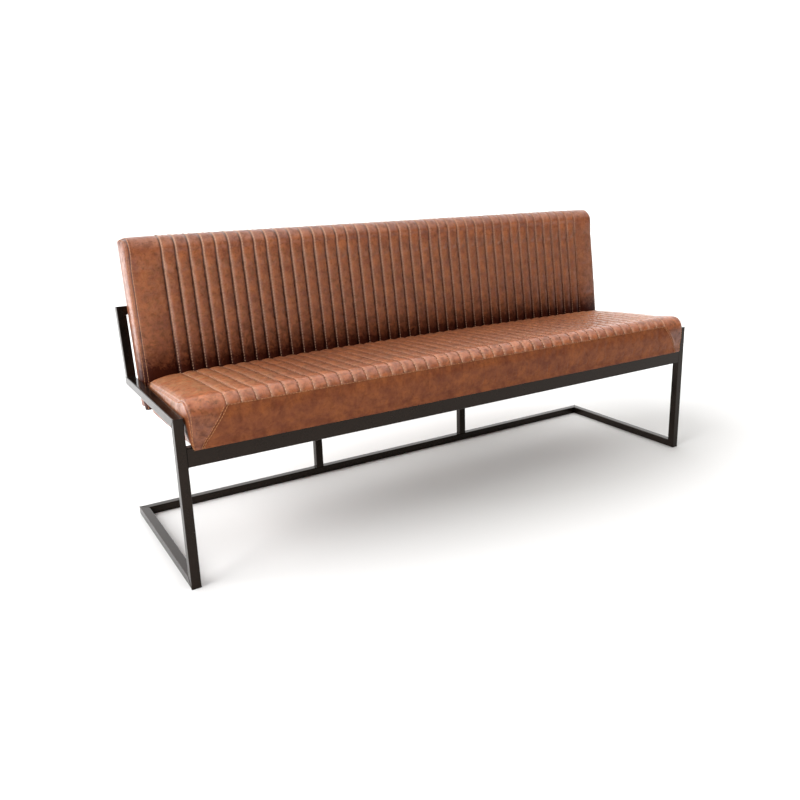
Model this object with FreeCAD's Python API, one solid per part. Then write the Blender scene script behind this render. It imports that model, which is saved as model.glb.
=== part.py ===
import FreeCAD
import Part
import math
import os
from FreeCAD import Placement, Rotation, Vector

# Bench with a welded square-tube frame, a seat cushion and a back cushion, both with sewn channels.
# Millimetres. X runs along the bench, Y from front to back and Z up from the floor.
# The origin is on the floor, under the middle of the bench.

# Frame
LENGTH = 1800.0             # over the outsides of the two end frames
FLOOR_DEPTH = 553.0         # floor rails, front to back
SIDE_RAIL_DEPTH = 510.0     # side rails, front to back
SIDE_RAIL_TOP = 450.0
CROSSBAR_TOP = 649.0        # top front edge of the crossbar behind the back
TUBE = 25.0                 # side of the square tube
TUBE_WALL = 2.0
TUBE_CORNER = 2.5
FRONT_RAIL_HEIGHT = 50.0
FRONT_RAIL_TOP = 373.0
POST_SPACING = 600.0        # between the middles of the two support posts
SEAT_TILT = 2.0             # degrees that the seat falls towards the back
RECLINE = 8.0               # degrees that the uprights and the back lean
PLUG_HEAD = 2.0             # plate of the plastic plug in a side rail's open end
PLUG_STEM = 15.0
PLUG_FIT = 0.2

# Covers and fillings that both cushions share
END_GAP = 3.0               # cushion ends to the tubes beside them
CHANNEL_COUNT = 40
PLAIN_END = 98.0            # width of the plain cover at each end of the channels
CHANNEL_RISE = 5.0          # crest of a channel above its seams
COVER = 3.0                 # cover and lining at a seam
END_ROLL = 16.0             # rounding where a cover turns over a cushion's end
SIDE_SEAM = 5.0             # end seam in from a cushion's end
BOARD = 18.0                # plywood
FILL_GAP = 0.3              # filling to the inside of the covers
CROWN_STEPS = 2             # straight stretches of a channel along the crown
ROLL_STEPS = 3              # and round the rolled edge

# Seat cushion
SEAT_OVERHANG = 20.0        # front of the seat ahead of the legs
SEAT_HEIGHT = 112.5         # underside to the top of the crown
SEAT_ROLL = 41.0            # rounding of the front edge
SEAT_CROWN = 5600.0         # radius of the crown, front to back
SEAT_APEX = 60.0            # top of the crown behind the front edge
SEAT_BAND_SEAM = 24.5       # degrees above level where the front band's seam lies on the roll
SEAT_TUCK = 9.0             # front band drawn in at the board
SEAT_MITRE_RUN = 52.0       # width that the diagonal corner seam covers
SEAT_DRAW_IN = 8.0          # ends drawn in at the underside
DUST_COVER = 0.8

# Back cushion
OVERALL_HEIGHT = 845.0
BACK_HEIGHT = 85.0          # rear panel to the crest of the crown
BACK_ROLL = 42.0            # rounding of the top edge
BACK_CROWN = 9000.0
BACK_APEX = 230.0           # top of the crown below the top edge
BACK_BAND_SEAM = 0.0
BACK_TUCK = 3.0
BACK_DRAW_IN = 3.0
REAR_PANEL = 3.0
BACK_FOOT_GAP = 0.3         # back cushion to the seat bearers
SEAT_BACK_GAP = 1.5         # seat cushion to the back cushion

# Fasteners
BOLT = 8.0                  # thread diameter
BOLT_HEAD = 13.0            # across the flats
BOLT_HEAD_HEIGHT = 5.3
BOLT_REACH = 15.0           # into the board
BOLT_HOLE = 9.0
THREAD_FIT = 0.1
TEE_NUT_FLANGE = 22.0
TEE_NUT_FLANGE_HEIGHT = 1.5
TEE_NUT_BARREL = 10.0
TEE_NUT_LENGTH = 12.0
TAB_WIDTH = 40.0            # welded seat tabs behind the front rail
TAB_DEPTH = 35.0
PLATE = 4.0                 # steel of the tabs and the back's foot brackets
BRACKET_HEIGHT = 60.0
BRACKET_FOOT = 38.0
BRACKET_WIDTH = 24.0
END_BOLT = 172.0            # outermost tabs and bolts in from a cushion's end
FRONT_BOLT = 95.0           # front bearer bolts behind the legs' front faces
REAR_BOLT = 70.0            # rear bearer bolts ahead of the seat's rear
FASTENER_SIDES = 8          # round fasteners and their holes are drawn with this many flats

FRONT = (SEAT_OVERHANG - FLOOR_DEPTH) / 2       # front faces of the legs
REAR = FRONT + FLOOR_DEPTH
HALF = LENGTH / 2
INSIDE = HALF - TUBE                            # inner faces of the end frames
CUSHION_HALF = INSIDE - END_GAP
PADDING = CHANNEL_RISE + COVER
SIDES = {"left": -1, "right": 1}
# The back's own frame is turned round, so its left end is at positive X.
SEAT_NAMES = {"underside": "dust_cover", "band": "front_band", "rear": "rear_panel", -1: "left", 1: "right"}
BACK_NAMES = {"underside": "rear_panel", "band": "top_band", "rear": "foot_panel", -1: "right", 1: "left"}


def rounded_box(low, size, run):
    """Box whose four edges along one axis are rounded as the tube is."""
    box = Part.makeBox(size.x, size.y, size.z, low)
    edges = [edge for edge in box.Edges if abs(getattr(edge.tangentAt(edge.FirstParameter), run)) > 0.9]
    return box.makeFillet(TUBE_CORNER, edges)


def tube(x, y, z, run):
    """Hollow tube that fills the given spans and runs along the axis x, y or z."""
    low = Vector(x[0], y[0], z[0])
    size = Vector(x[1], y[1], z[1]) - low
    inset = Vector(TUBE_WALL, TUBE_WALL, TUBE_WALL)
    setattr(inset, run, 0.0)
    hollow = size - inset * 2
    return rounded_box(low, size, run).cut(Part.makeBox(hollow.x, hollow.y, hollow.z, low + inset))


def cut_beyond(shape, point, normal):
    """Removes what lies past the plane through a point, on the side that the normal faces."""
    reach = 4 * LENGTH
    block = Part.makeBox(reach, reach, reach, Vector(-reach / 2, -reach / 2, 0))
    block.Placement = Placement(point, Rotation(Vector(0, 0, 1), normal))
    return shape.cut(block)


def split(shape, point, normal):
    """The two parts of a shape, behind and past a plane."""
    return cut_beyond(shape, point, normal), cut_beyond(shape, point, normal * -1)


def span(side, inner, outer):
    """A span of X on one side of the middle, lowest value first."""
    return sorted((side * inner, side * outer))


def outline(points):
    """Flat face inside a closed row of straight lines."""
    return Part.Face(Part.makePolygon(points + points[:1]))


def many_sided(radius, sides, x, y, z):
    """Upright prism of equal sides at X and Y, over a span of Z."""
    corners = []
    for index in range(sides):
        turn = 2 * math.pi * index / sides
        corners.append(Vector(x + radius * math.cos(turn), y + radius * math.sin(turn), z[0]))
    return outline(corners).extrude(Vector(0, 0, z[1] - z[0]))


def peg(diameter, x, y, z):
    """Upright round peg at X and Y, over a span of Z."""
    return many_sided(diameter / 2, FASTENER_SIDES, x, y, z)


class Cushion:
    """An upholstered cushion in its own frame: Y back from its rolled edge, Z up from its underside."""

    def __init__(self, names, height, roll, crown, apex, band_seam, tuck, mitre_run, draw_in, backing):
        self.names = names
        self.height = height
        self.roll = roll
        self.crown = crown
        self.band_seam = math.radians(band_seam)
        self.mitre_run = mitre_run
        self.draw_in = draw_in
        self.backing = backing
        self.board_top = backing + BOARD
        self.crown_centre = Vector(0, apex, height - crown)
        rise = math.sqrt((crown - roll) ** 2 - (apex - roll) ** 2)
        self.roll_centre = Vector(0, roll, height - crown + rise)
        drop = self.roll_centre.z - self.board_top
        self.band = (drop ** 2 + tuck ** 2) / (2 * tuck)
        self.tangent = (self.roll_centre - self.crown_centre).normalize()
        self.seam_x = CUSHION_HALF - PLAIN_END

    def set_rear(self, foot, head):
        """Places the flat rear of the cushion through two points."""
        self.rear_foot = Vector(0, foot.y, foot.z)
        self.rear_way = Vector(0, head.y - foot.y, head.z - foot.z).normalize()
        self.rear_normal = Vector(0, self.rear_way.z, -self.rear_way.y)

    def on_roll(self, angle, inset):
        """Point on the rolled edge, at an angle above level."""
        radius = self.roll - inset
        return self.roll_centre + Vector(0, -radius * math.cos(angle), radius * math.sin(angle))

    def on_band(self, z, inset):
        """Point on the band below the roll, at a height."""
        reach = math.sqrt((self.band - inset) ** 2 - (self.roll_centre.z - z) ** 2)
        return Vector(0, self.band - reach, z)

    def on_rear(self, z, inset):
        """Point on the flat rear, at a height."""
        start = self.rear_foot - self.rear_normal * inset
        return start + self.rear_way * ((z - start.z) / self.rear_way.z)

    def rear_top(self, inset):
        """Point where the flat rear meets the crown."""
        start = self.rear_foot - self.rear_normal * inset
        offset = start - self.crown_centre
        along = offset.dot(self.rear_way)
        reach = (self.crown - inset) ** 2 - offset.dot(offset) + along ** 2
        return start + self.rear_way * (math.sqrt(reach) - along)

    def section(self, x, inset, bottom):
        """Closed outline across the cushion at X, drawn in by an inset."""
        tangent_angle = math.atan2(self.tangent.z, -self.tangent.y)
        front = self.on_roll(0, inset)
        roll_end = self.on_roll(tangent_angle, inset)
        roll_middle = self.on_roll(tangent_angle / 2, inset)
        band_end = self.on_band(self.board_top, inset)
        band_middle = self.on_band((self.board_top + front.z) / 2, inset)
        rear_top = self.rear_top(inset)
        to_middle = ((rear_top + roll_end) * 0.5 - self.crown_centre).normalize()
        crown_middle = self.crown_centre + to_middle * (self.crown - inset)
        foot = Vector(0, band_end.y, bottom)
        rear_foot = self.on_rear(bottom, inset)
        edges = [
            Part.LineSegment(rear_foot, foot),
            Part.LineSegment(foot, band_end),
            Part.Arc(band_end, band_middle, front),
            Part.Arc(front, roll_middle, roll_end),
            Part.Arc(roll_end, crown_middle, rear_top),
            Part.LineSegment(rear_top, rear_foot),
        ]
        wire = Part.Wire([edge.toShape() for edge in edges])
        wire.translate(Vector(x, 0, 0))
        return wire

    def places(self):
        """Centre, radius and lean of the channel panel's sections, from the rear to the band's seam."""
        lean = math.atan2(-self.tangent.y, self.tangent.z)
        rear = self.rear_top(0.0) - self.crown_centre
        rear_lean = math.atan2(-rear.y, rear.z)
        band_lean = math.pi / 2 - self.band_seam
        crown_turn = (lean - rear_lean) / CROWN_STEPS
        roll_turn = (band_lean - lean) / ROLL_STEPS
        made = []
        for step in range(CROWN_STEPS):
            made.append((self.crown_centre, self.crown, rear_lean + crown_turn * step))
        for step in range(ROLL_STEPS + 1):
            made.append((self.roll_centre, self.roll, lean + roll_turn * step))
        return made

    def inner_section(self, x, inset, bottom):
        """Closed outline of the filling at X, with the same straight stretches as the channel panel."""
        points = [self.on_rear(bottom, inset), self.rear_top(inset)]
        for centre, radius, lean in self.places()[1:]:
            reach = radius - inset
            points.append(centre + Vector(0, -reach * math.sin(lean), reach * math.cos(lean)))
        if self.band_seam:
            points.append(self.on_roll(0, inset))
        band_end = self.on_band(self.board_top, inset)
        points += [band_end, Vector(0, band_end.y, bottom)]
        wire = Part.makePolygon(points + points[:1])
        wire.translate(Vector(x, 0, 0))
        return wire

    def end_rows(self, inset):
        """X and inset of the sections from the outermost channel seam to a cushion's end."""
        rolled = END_ROLL - inset
        start = CUSHION_HALF - END_ROLL
        if inset:
            rows = [(self.seam_x, inset), (start, inset)]
        else:
            rows = [
                (self.seam_x, CHANNEL_RISE),
                (self.seam_x + PLAIN_END / 4, CHANNEL_RISE / 4),
                (start, 0.0),
            ]
        for angle in (30, 60, 90):
            turn = math.radians(angle)
            rows.append((start + rolled * math.sin(turn), inset + rolled * (1 - math.cos(turn))))
        return rows

    def end_plane(self, side, inset):
        """Point and outward normal of a drawn-in end."""
        point = Vector(side * (CUSHION_HALF - self.draw_in - inset), 0, 0)
        return point, Vector(side * self.height, 0, -self.draw_in)

    def end_solid(self, side):
        """Outside form of one end of the cushion, from the outermost channel seam."""
        wires = [self.section(side * x, inset, 0.0) for x, inset in self.end_rows(0.0)]
        return cut_beyond(Part.makeLoft(wires, True, True), *self.end_plane(side, 0.0))

    def filling(self, inset, bottom):
        """Space inside the covers, from end to end."""
        rows = self.end_rows(inset)
        rows = [(-x, d) for x, d in reversed(rows)] + rows
        solid = Part.makeLoft([self.inner_section(x, d, bottom) for x, d in rows], True, True)
        for side in SIDES.values():
            solid = cut_beyond(solid, *self.end_plane(side, inset))
        return solid

    def channel_panel(self):
        """Quilted panel: a row of arcs across, carried along the crown and round the rolled edge."""
        pitch = 2 * self.seam_x / CHANNEL_COUNT
        edges = []
        for index in range(CHANNEL_COUNT):
            x = -self.seam_x + index * pitch
            seam = Vector(x, 0, -CHANNEL_RISE)
            crest = Vector(x + pitch / 2, 0, 0)
            next_seam = Vector(x + pitch, 0, -CHANNEL_RISE)
            edges.append(Part.Arc(seam, crest, next_seam).toShape())
        corners = [Vector(self.seam_x, 0, -CHANNEL_RISE), Vector(self.seam_x, 0, -PADDING)]
        corners += [Vector(-self.seam_x, 0, -PADDING), Vector(-self.seam_x, 0, -CHANNEL_RISE)]
        edges += Part.makePolygon(corners).Edges
        across = Part.Wire(edges)
        wires = []
        for centre, radius, lean in self.places():
            wire = across.copy()
            wire.translate(centre + Vector(0, 0, radius))
            wire.rotate(centre, Vector(1, 0, 0), math.degrees(lean))
            wires.append(wire)
        return Part.makeLoft(wires, True, True)

    def front_band(self):
        """Plain band below the rolled edge, with a diagonal seam at each end."""
        seam = self.on_roll(self.band_seam, 0.0)
        outer_foot = self.on_band(self.board_top, 0.0)
        inner_foot = self.on_band(self.board_top, PADDING)
        front = self.on_roll(0, 0.0)
        inner_front = self.on_roll(0, PADDING)
        middle = (self.board_top + front.z) / 2
        if self.band_seam:
            half_angle = self.band_seam / 2
            inner_seam = self.on_roll(self.band_seam, PADDING)
            rims = [
                Part.Arc(front, self.on_roll(half_angle, 0.0), seam),
                Part.LineSegment(seam, inner_seam),
                Part.Arc(inner_seam, self.on_roll(half_angle, PADDING), inner_front),
            ]
        else:
            rims = [Part.LineSegment(front, inner_front)]
        inner_base = Vector(0, inner_foot.y, 0)
        outer_base = Vector(0, outer_foot.y, 0)
        edges = rims + [
            Part.Arc(inner_front, self.on_band(middle, PADDING), inner_foot),
            Part.LineSegment(inner_foot, inner_base),
            Part.LineSegment(inner_base, outer_base),
            Part.LineSegment(outer_base, outer_foot),
            Part.Arc(outer_foot, self.on_band(middle, 0.0), front),
        ]
        face = Part.Face(Part.Wire([edge.toShape() for edge in edges]))
        reach = self.seam_x + self.mitre_run
        face.translate(Vector(-reach, 0, 0))
        band = face.extrude(Vector(2 * reach, 0, 0))
        for side in SIDES.values():
            band = cut_beyond(band, *self.mitre_plane(side))
        return band

    def mitre_plane(self, side):
        """Point and outward normal of the seam between the front band and a plain end."""
        seam = self.on_roll(self.band_seam, 0.0)
        return Vector(side * self.seam_x, 0, seam.z), Vector(side * seam.z, 0, self.mitre_run)

    def pieces(self):
        """The cushion's solids by name, before fasteners."""
        rear_plane = (self.on_rear(0.0, PADDING), self.rear_normal)
        space = self.filling(PADDING, -BOARD)
        core = self.filling(PADDING + FILL_GAP, -BOARD)
        core = cut_beyond(core, Vector(0, 0, 0), Vector(0, 0, -1))
        core, backing = split(core, Vector(0, 0, self.backing), Vector(0, 0, -1))
        foam, board = split(core, Vector(0, 0, self.board_top), Vector(0, 0, -1))
        made = {
            "foam": foam,
            "board": board,
            self.names["underside"]: backing,
            "channel_panel": cut_beyond(self.channel_panel(), *rear_plane),
            self.names["band"]: self.front_band(),
        }
        rear_rows = [(x, d) for x, d in self.end_rows(0.0) if d >= CHANNEL_RISE]
        rear_rows = [(-x, d) for x, d in reversed(rear_rows)] + rear_rows
        for side in SIDES.values():
            cover = cut_beyond(self.end_solid(side).cut(space), *rear_plane)
            point, normal = self.end_plane(side, SIDE_SEAM)
            plain, gusset = split(cover, point, normal)
            mitre_point, mitre_normal = self.mitre_plane(side)
            name = self.names[side]
            made[name + "_end_panel"] = cut_beyond(plain, mitre_point, mitre_normal * -1)
            made[name + "_side_panel"] = gusset
        rear = Part.makeLoft([self.section(x, d, 0.0) for x, d in rear_rows], True, True)
        for side in SIDES.values():
            rear = cut_beyond(rear, *self.end_plane(side, 0.0))
        made[self.names["rear"]] = cut_beyond(rear, rear_plane[0], self.rear_normal * -1)
        return made

    def bolt_set(self, points):
        """Bolts, tee nuts, their holes and their seats in the board, at X, Y and grip length."""
        bolts = []
        nuts = []
        holes = []
        seats = []
        top = self.board_top
        for x, y, grip in points:
            bolts.append(hex_bolt(x, y, -grip, self.backing + BOLT_REACH))
            nuts.append(tee_nut(x, y, top))
            holes.append(peg(BOLT_HOLE, x, y, (-grip, self.backing)))
            barrel = (top - TEE_NUT_FLANGE_HEIGHT - TEE_NUT_LENGTH, top)
            seats.append(peg(TEE_NUT_BARREL, x, y, barrel))
            seats.append(peg(BOLT_HOLE, x, y, (0, top)))
            seats.append(peg(TEE_NUT_FLANGE, x, y, (top - TEE_NUT_FLANGE_HEIGHT, top)))
        return bolts, nuts, Part.makeCompound(holes), Part.makeCompound(seats)


def hex_bolt(x, y, under_head, tip):
    """Hexagon-head bolt that points up, with its head below."""
    radius = BOLT_HEAD / 2 / math.cos(math.pi / 6)
    head = many_sided(radius, 6, x, y, (under_head - BOLT_HEAD_HEIGHT, under_head))
    return head.fuse(peg(BOLT - THREAD_FIT, x, y, (under_head, tip)))


def tee_nut(x, y, top):
    """Tee nut let into the board from above."""
    shoulder = top - TEE_NUT_FLANGE_HEIGHT
    flange = peg(TEE_NUT_FLANGE, x, y, (shoulder, top))
    barrel = peg(TEE_NUT_BARREL, x, y, (shoulder - TEE_NUT_LENGTH, shoulder))
    return flange.fuse(barrel).cut(peg(BOLT, x, y, (shoulder - TEE_NUT_LENGTH, top)))


def seat_placement(cushion):
    """Seat frame: its underside touches the front rail's rear edge and falls to the back."""
    tilt = math.radians(SEAT_TILT)
    y = FRONT - SEAT_OVERHANG - cushion.roll_centre.z * math.sin(tilt)
    z = FRONT_RAIL_TOP + (FRONT + TUBE - y) * math.tan(tilt)
    return Placement(Vector(0, y, z), Rotation(Vector(1, 0, 0), -SEAT_TILT))


def back_placement(cushion):
    """Back frame: its rear lies on the plane of the uprights' front faces, and its Y runs down."""
    lean = math.radians(RECLINE)
    down = Vector(0, -math.sin(lean), -math.cos(lean))
    forward = Vector(0, -math.cos(lean), math.sin(lean))
    z = OVERALL_HEIGHT - cushion.roll * (1 - math.cos(lean)) - cushion.roll_centre.z * math.sin(lean)
    y = FRONT + SIDE_RAIL_DEPTH - TUBE / math.cos(lean) + (z - SIDE_RAIL_TOP) * math.tan(lean)
    return Placement(Vector(0, y, z), Rotation(Vector(-1, 0, 0), down, forward, "ZXY"))


def bearer_top(y):
    """Height of the seat bearers' top faces."""
    return FRONT_RAIL_TOP - (y - FRONT - TUBE) * math.tan(math.radians(SEAT_TILT))


def end_frame(name, side):
    """Floor rail, front leg and side rail of one end, mitred to each other."""
    x = span(side, INSIDE, HALF)
    foot = Vector(0, FRONT, 0)
    head = Vector(0, FRONT, SIDE_RAIL_TOP)
    heel = Vector(side * HALF, REAR, 0)
    leg = tube(x, (FRONT, FRONT + TUBE), (0, SIDE_RAIL_TOP), "z")
    leg = cut_beyond(leg, foot, Vector(0, 1, -1))
    leg = cut_beyond(leg, head, Vector(0, 1, 1))
    floor_rail = tube(x, (FRONT, REAR), (0, TUBE), "y")
    floor_rail = cut_beyond(floor_rail, foot, Vector(0, -1, 1))
    floor_rail = cut_beyond(floor_rail, heel, Vector(-side, 1, 0))
    rail_z = (SIDE_RAIL_TOP - TUBE, SIDE_RAIL_TOP)
    side_rail = tube(x, (FRONT, FRONT + SIDE_RAIL_DEPTH), rail_z, "y")
    side_rail = cut_beyond(side_rail, head, Vector(0, -1, -1))
    return {
        name + "_front_leg": leg,
        name + "_floor_rail": floor_rail,
        name + "_side_rail": side_rail,
    }


def end_plug(side):
    """Plastic plug in the open rear end of a side rail."""
    end = FRONT + SIDE_RAIL_DEPTH
    x = span(side, INSIDE, HALF)
    low = Vector(x[0], end, SIDE_RAIL_TOP - TUBE)
    head = rounded_box(low, Vector(TUBE, PLUG_HEAD, TUBE), "y")
    inset = TUBE_WALL + PLUG_FIT
    side_of_stem = TUBE - 2 * inset
    corner = Vector(x[0] + inset, end - PLUG_STEM, SIDE_RAIL_TOP - TUBE + inset)
    return head.fuse(Part.makeBox(side_of_stem, PLUG_STEM, side_of_stem, corner))


def rear_floor_rail():
    """Rail on the floor that joins the two ends behind the bench."""
    rail = tube((-HALF, HALF), (REAR - TUBE, REAR), (0, TUBE), "x")
    for side in SIDES.values():
        rail = cut_beyond(rail, Vector(side * HALF, REAR, 0), Vector(side, -1, 0))
    return rail


def front_seat_rail():
    """Taller rail between the legs, under the front of the seat."""
    z = (FRONT_RAIL_TOP - FRONT_RAIL_HEIGHT, FRONT_RAIL_TOP)
    return tube((-INSIDE, INSIDE), (FRONT, FRONT + TUBE), z, "x")


def bearer_and_post(side, seat_place):
    """Seat bearer from the front rail to the back, mitred to a post on the rear floor rail."""
    x = span(side, POST_SPACING / 2 - TUBE / 2, POST_SPACING / 2 + TUBE / 2)
    inner = Vector(0, REAR - TUBE, bearer_top(REAR - TUBE) - TUBE / math.cos(math.radians(SEAT_TILT)))
    outer = Vector(0, REAR, bearer_top(REAR))
    rise = outer - inner
    past = Vector(0, rise.z, -rise.y)
    bearer = tube(x, (-TUBE, REAR - FRONT + 4 * TUBE), (-TUBE, 0), "y")
    bearer.Placement = seat_place
    bearer = cut_beyond(bearer, Vector(0, FRONT + TUBE, 0), Vector(0, -1, 0))
    bearer = cut_beyond(bearer, outer, past)
    post = tube(x, (REAR - TUBE, REAR), (TUBE, FRONT_RAIL_TOP + TUBE), "z")
    return bearer, cut_beyond(post, outer, past * -1)


def upright(side, top, back_place):
    """Upright on a side rail, drawn in the back's frame, where X is turned round."""
    x = span(-side, INSIDE, HALF)
    made = tube(x, (top, OVERALL_HEIGHT), (-TUBE, 0), "y")
    made = cut_beyond(made, Vector(-side * HALF, top, 0), Vector(side, -1, 0))
    made.Placement = back_place
    return cut_beyond(made, Vector(0, 0, SIDE_RAIL_TOP), Vector(0, 0, -1))


def crossbar(top):
    """Bar between the uprights' tops, in the back's frame."""
    bar = tube((-HALF, HALF), (top, top + TUBE), (-TUBE, 0), "x")
    for side in SIDES.values():
        bar = cut_beyond(bar, Vector(side * HALF, top, 0), Vector(side, 1, 0))
    return bar


def seat_tab(side, seat_place):
    """Tab welded to the front rail's rear face, under the seat board."""
    middle = CUSHION_HALF - END_BOLT
    x = span(side, middle - TAB_WIDTH / 2, middle + TAB_WIDTH / 2)
    depth = SEAT_OVERHANG + TUBE + TAB_DEPTH
    tab = Part.makeBox(TAB_WIDTH, depth, PLATE, Vector(x[0], 0, -PLATE))
    tab.Placement = seat_place
    return cut_beyond(tab, Vector(0, FRONT + TUBE, 0), Vector(0, -1, 0))


def foot_bracket(side, seat_place, back_place, foot):
    """Angle bracket welded on a bearer, behind the foot of the back."""
    to_seat = seat_place.inverse()
    leg_top = to_seat.multVec(back_place.multVec(Vector(0, foot - BRACKET_HEIGHT, 0)))
    leg_rear = to_seat.multVec(back_place.multVec(Vector(0, foot - BRACKET_HEIGHT, -PLATE)))
    leg_foot = to_seat.multVec(back_place.multVec(Vector(0, foot, 0)))
    slope = (leg_top.y - leg_foot.y) / (leg_top.z - leg_foot.z)
    toe = leg_top.y - slope * leg_top.z
    corner = leg_rear.y - slope * (leg_rear.z - PLATE)
    x = span(side, POST_SPACING / 2 - BRACKET_WIDTH / 2, POST_SPACING / 2 + BRACKET_WIDTH / 2)
    points = [
        Vector(x[0], toe, 0),
        Vector(x[0], toe + BRACKET_FOOT, 0),
        Vector(x[0], toe + BRACKET_FOOT, PLATE),
        Vector(x[0], corner, PLATE),
        Vector(x[0], leg_rear.y, leg_rear.z),
        Vector(x[0], leg_top.y, leg_top.z),
    ]
    bracket = outline(points).extrude(Vector(BRACKET_WIDTH, 0, 0))
    bracket.Placement = seat_place
    return bracket


def placed(shape, place):
    """A copy of a shape, moved from a cushion's frame to the bench's."""
    made = shape.copy()
    made.Placement = place.multiply(made.Placement)
    return made


def build():
    """All pieces of the bench by name."""
    seat = Cushion(SEAT_NAMES, SEAT_HEIGHT, SEAT_ROLL, SEAT_CROWN, SEAT_APEX, SEAT_BAND_SEAM,
                   SEAT_TUCK, SEAT_MITRE_RUN, SEAT_DRAW_IN, DUST_COVER)
    back = Cushion(BACK_NAMES, BACK_HEIGHT, BACK_ROLL, BACK_CROWN, BACK_APEX, BACK_BAND_SEAM,
                   BACK_TUCK, 0.0, BACK_DRAW_IN, REAR_PANEL)
    seat_place = seat_placement(seat)
    back_place = back_placement(back)
    to_back = back_place.inverse()
    to_seat = seat_place.inverse()

    # The back's foot stands just clear of the bearers, and the seat ends just clear of the back.
    start = to_back.multVec(Vector(0, 0, bearer_top(0)))
    end = to_back.multVec(Vector(0, REAR, bearer_top(REAR)))
    foot = start.y + (end.y - start.y) * start.z / (start.z - end.z) - BACK_FOOT_GAP + CHANNEL_RISE
    back.set_rear(Vector(0, foot, 0), Vector(0, foot, BACK_HEIGHT))
    seat_rear = BACK_HEIGHT + SEAT_BACK_GAP - CHANNEL_RISE
    seat.set_rear(*(to_seat.multVec(back_place.multVec(Vector(0, y, seat_rear))) for y in (foot, 0)))

    pieces = {}
    for name, side in SIDES.items():
        pieces.update(end_frame(name, side))
    pieces["side_rail_end_plugs"] = Part.makeCompound([end_plug(side) for side in SIDES.values()])
    pieces["rear_floor_rail"] = rear_floor_rail()
    pieces["front_seat_rail"] = front_seat_rail()

    crossbar_top = to_back.multVec(Vector(0, back_place.Base.y, CROSSBAR_TOP)).y
    bearer_points = []
    tab_points = []
    foot_points = []
    bar_points = []
    for side in SIDES.values():
        post_x = side * POST_SPACING / 2
        end_x = side * (CUSHION_HALF - END_BOLT)
        for y in (SEAT_OVERHANG + FRONT_BOLT, seat.on_rear(0.0, PADDING).y - REAR_BOLT):
            bearer_points.append((post_x, y, TUBE))
        tab_points.append((end_x, SEAT_OVERHANG + TUBE + TAB_DEPTH / 2, PLATE))
        foot_points.append((post_x, foot - CHANNEL_RISE - BRACKET_HEIGHT / 2, PLATE))
        for x in (post_x, end_x):
            bar_points.append((x, crossbar_top + TUBE / 2, TUBE))
    seat_bolts, seat_nuts, seat_holes, seat_seats = seat.bolt_set(bearer_points + tab_points)
    back_bolts, back_nuts, back_holes, back_seats = back.bolt_set(bar_points + foot_points)

    bar = crossbar(crossbar_top).cut(back_holes)
    pieces["back_crossbar"] = placed(bar, back_place)
    for name, side in SIDES.items():
        pieces[name + "_back_upright"] = upright(side, crossbar_top, back_place)
        bearer, post = bearer_and_post(side, seat_place)
        pieces[name + "_seat_bearer"] = bearer.cut(placed(seat_holes, seat_place))
        pieces[name + "_support_post"] = post
    tabs = [seat_tab(side, seat_place).cut(placed(seat_holes, seat_place)) for side in SIDES.values()]
    pieces["seat_fixing_tabs"] = Part.makeCompound(tabs)
    brackets = [foot_bracket(side, seat_place, back_place, foot) for side in SIDES.values()]
    brackets = [bracket.cut(placed(back_holes, back_place)) for bracket in brackets]
    pieces["back_foot_brackets"] = Part.makeCompound(brackets)

    for label, cushion, place, holes, seats in (
        ("seat", seat, seat_place, seat_holes, seat_seats),
        ("back", back, back_place, back_holes, back_seats),
    ):
        made = cushion.pieces()
        made["board"] = made["board"].cut(seats)
        underside = cushion.names["underside"]
        made[underside] = made[underside].cut(holes)
        for piece, shape in made.items():
            pieces[label + "_" + piece] = placed(shape, place)
    pieces["seat_bolts"] = placed(Part.makeCompound(seat_bolts), seat_place)
    pieces["seat_tee_nuts"] = placed(Part.makeCompound(seat_nuts), seat_place)
    pieces["back_bolts"] = placed(Part.makeCompound(back_bolts), back_place)
    pieces["back_tee_nuts"] = placed(Part.makeCompound(back_nuts), back_place)
    return pieces


def main():
    os.makedirs("parts", exist_ok=True)
    for name, shape in build().items():
        solids = shape.Solids
        whole = solids[0] if len(solids) == 1 else Part.makeCompound(solids)
        whole.exportStep(os.path.join("parts", name + ".step"))
        volume = sum(solid.Volume for solid in solids)
        state = "valid" if whole.isValid() else "INVALID"
        print(name, len(solids), "solids", round(volume / 1000, 1), "cm3", state)


main()
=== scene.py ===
import math
from collections import namedtuple
from functools import partial

import bmesh
import bpy
from bpy.props import FloatProperty, FloatVectorProperty, IntProperty, PointerProperty
from mathutils import Matrix, Vector


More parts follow.
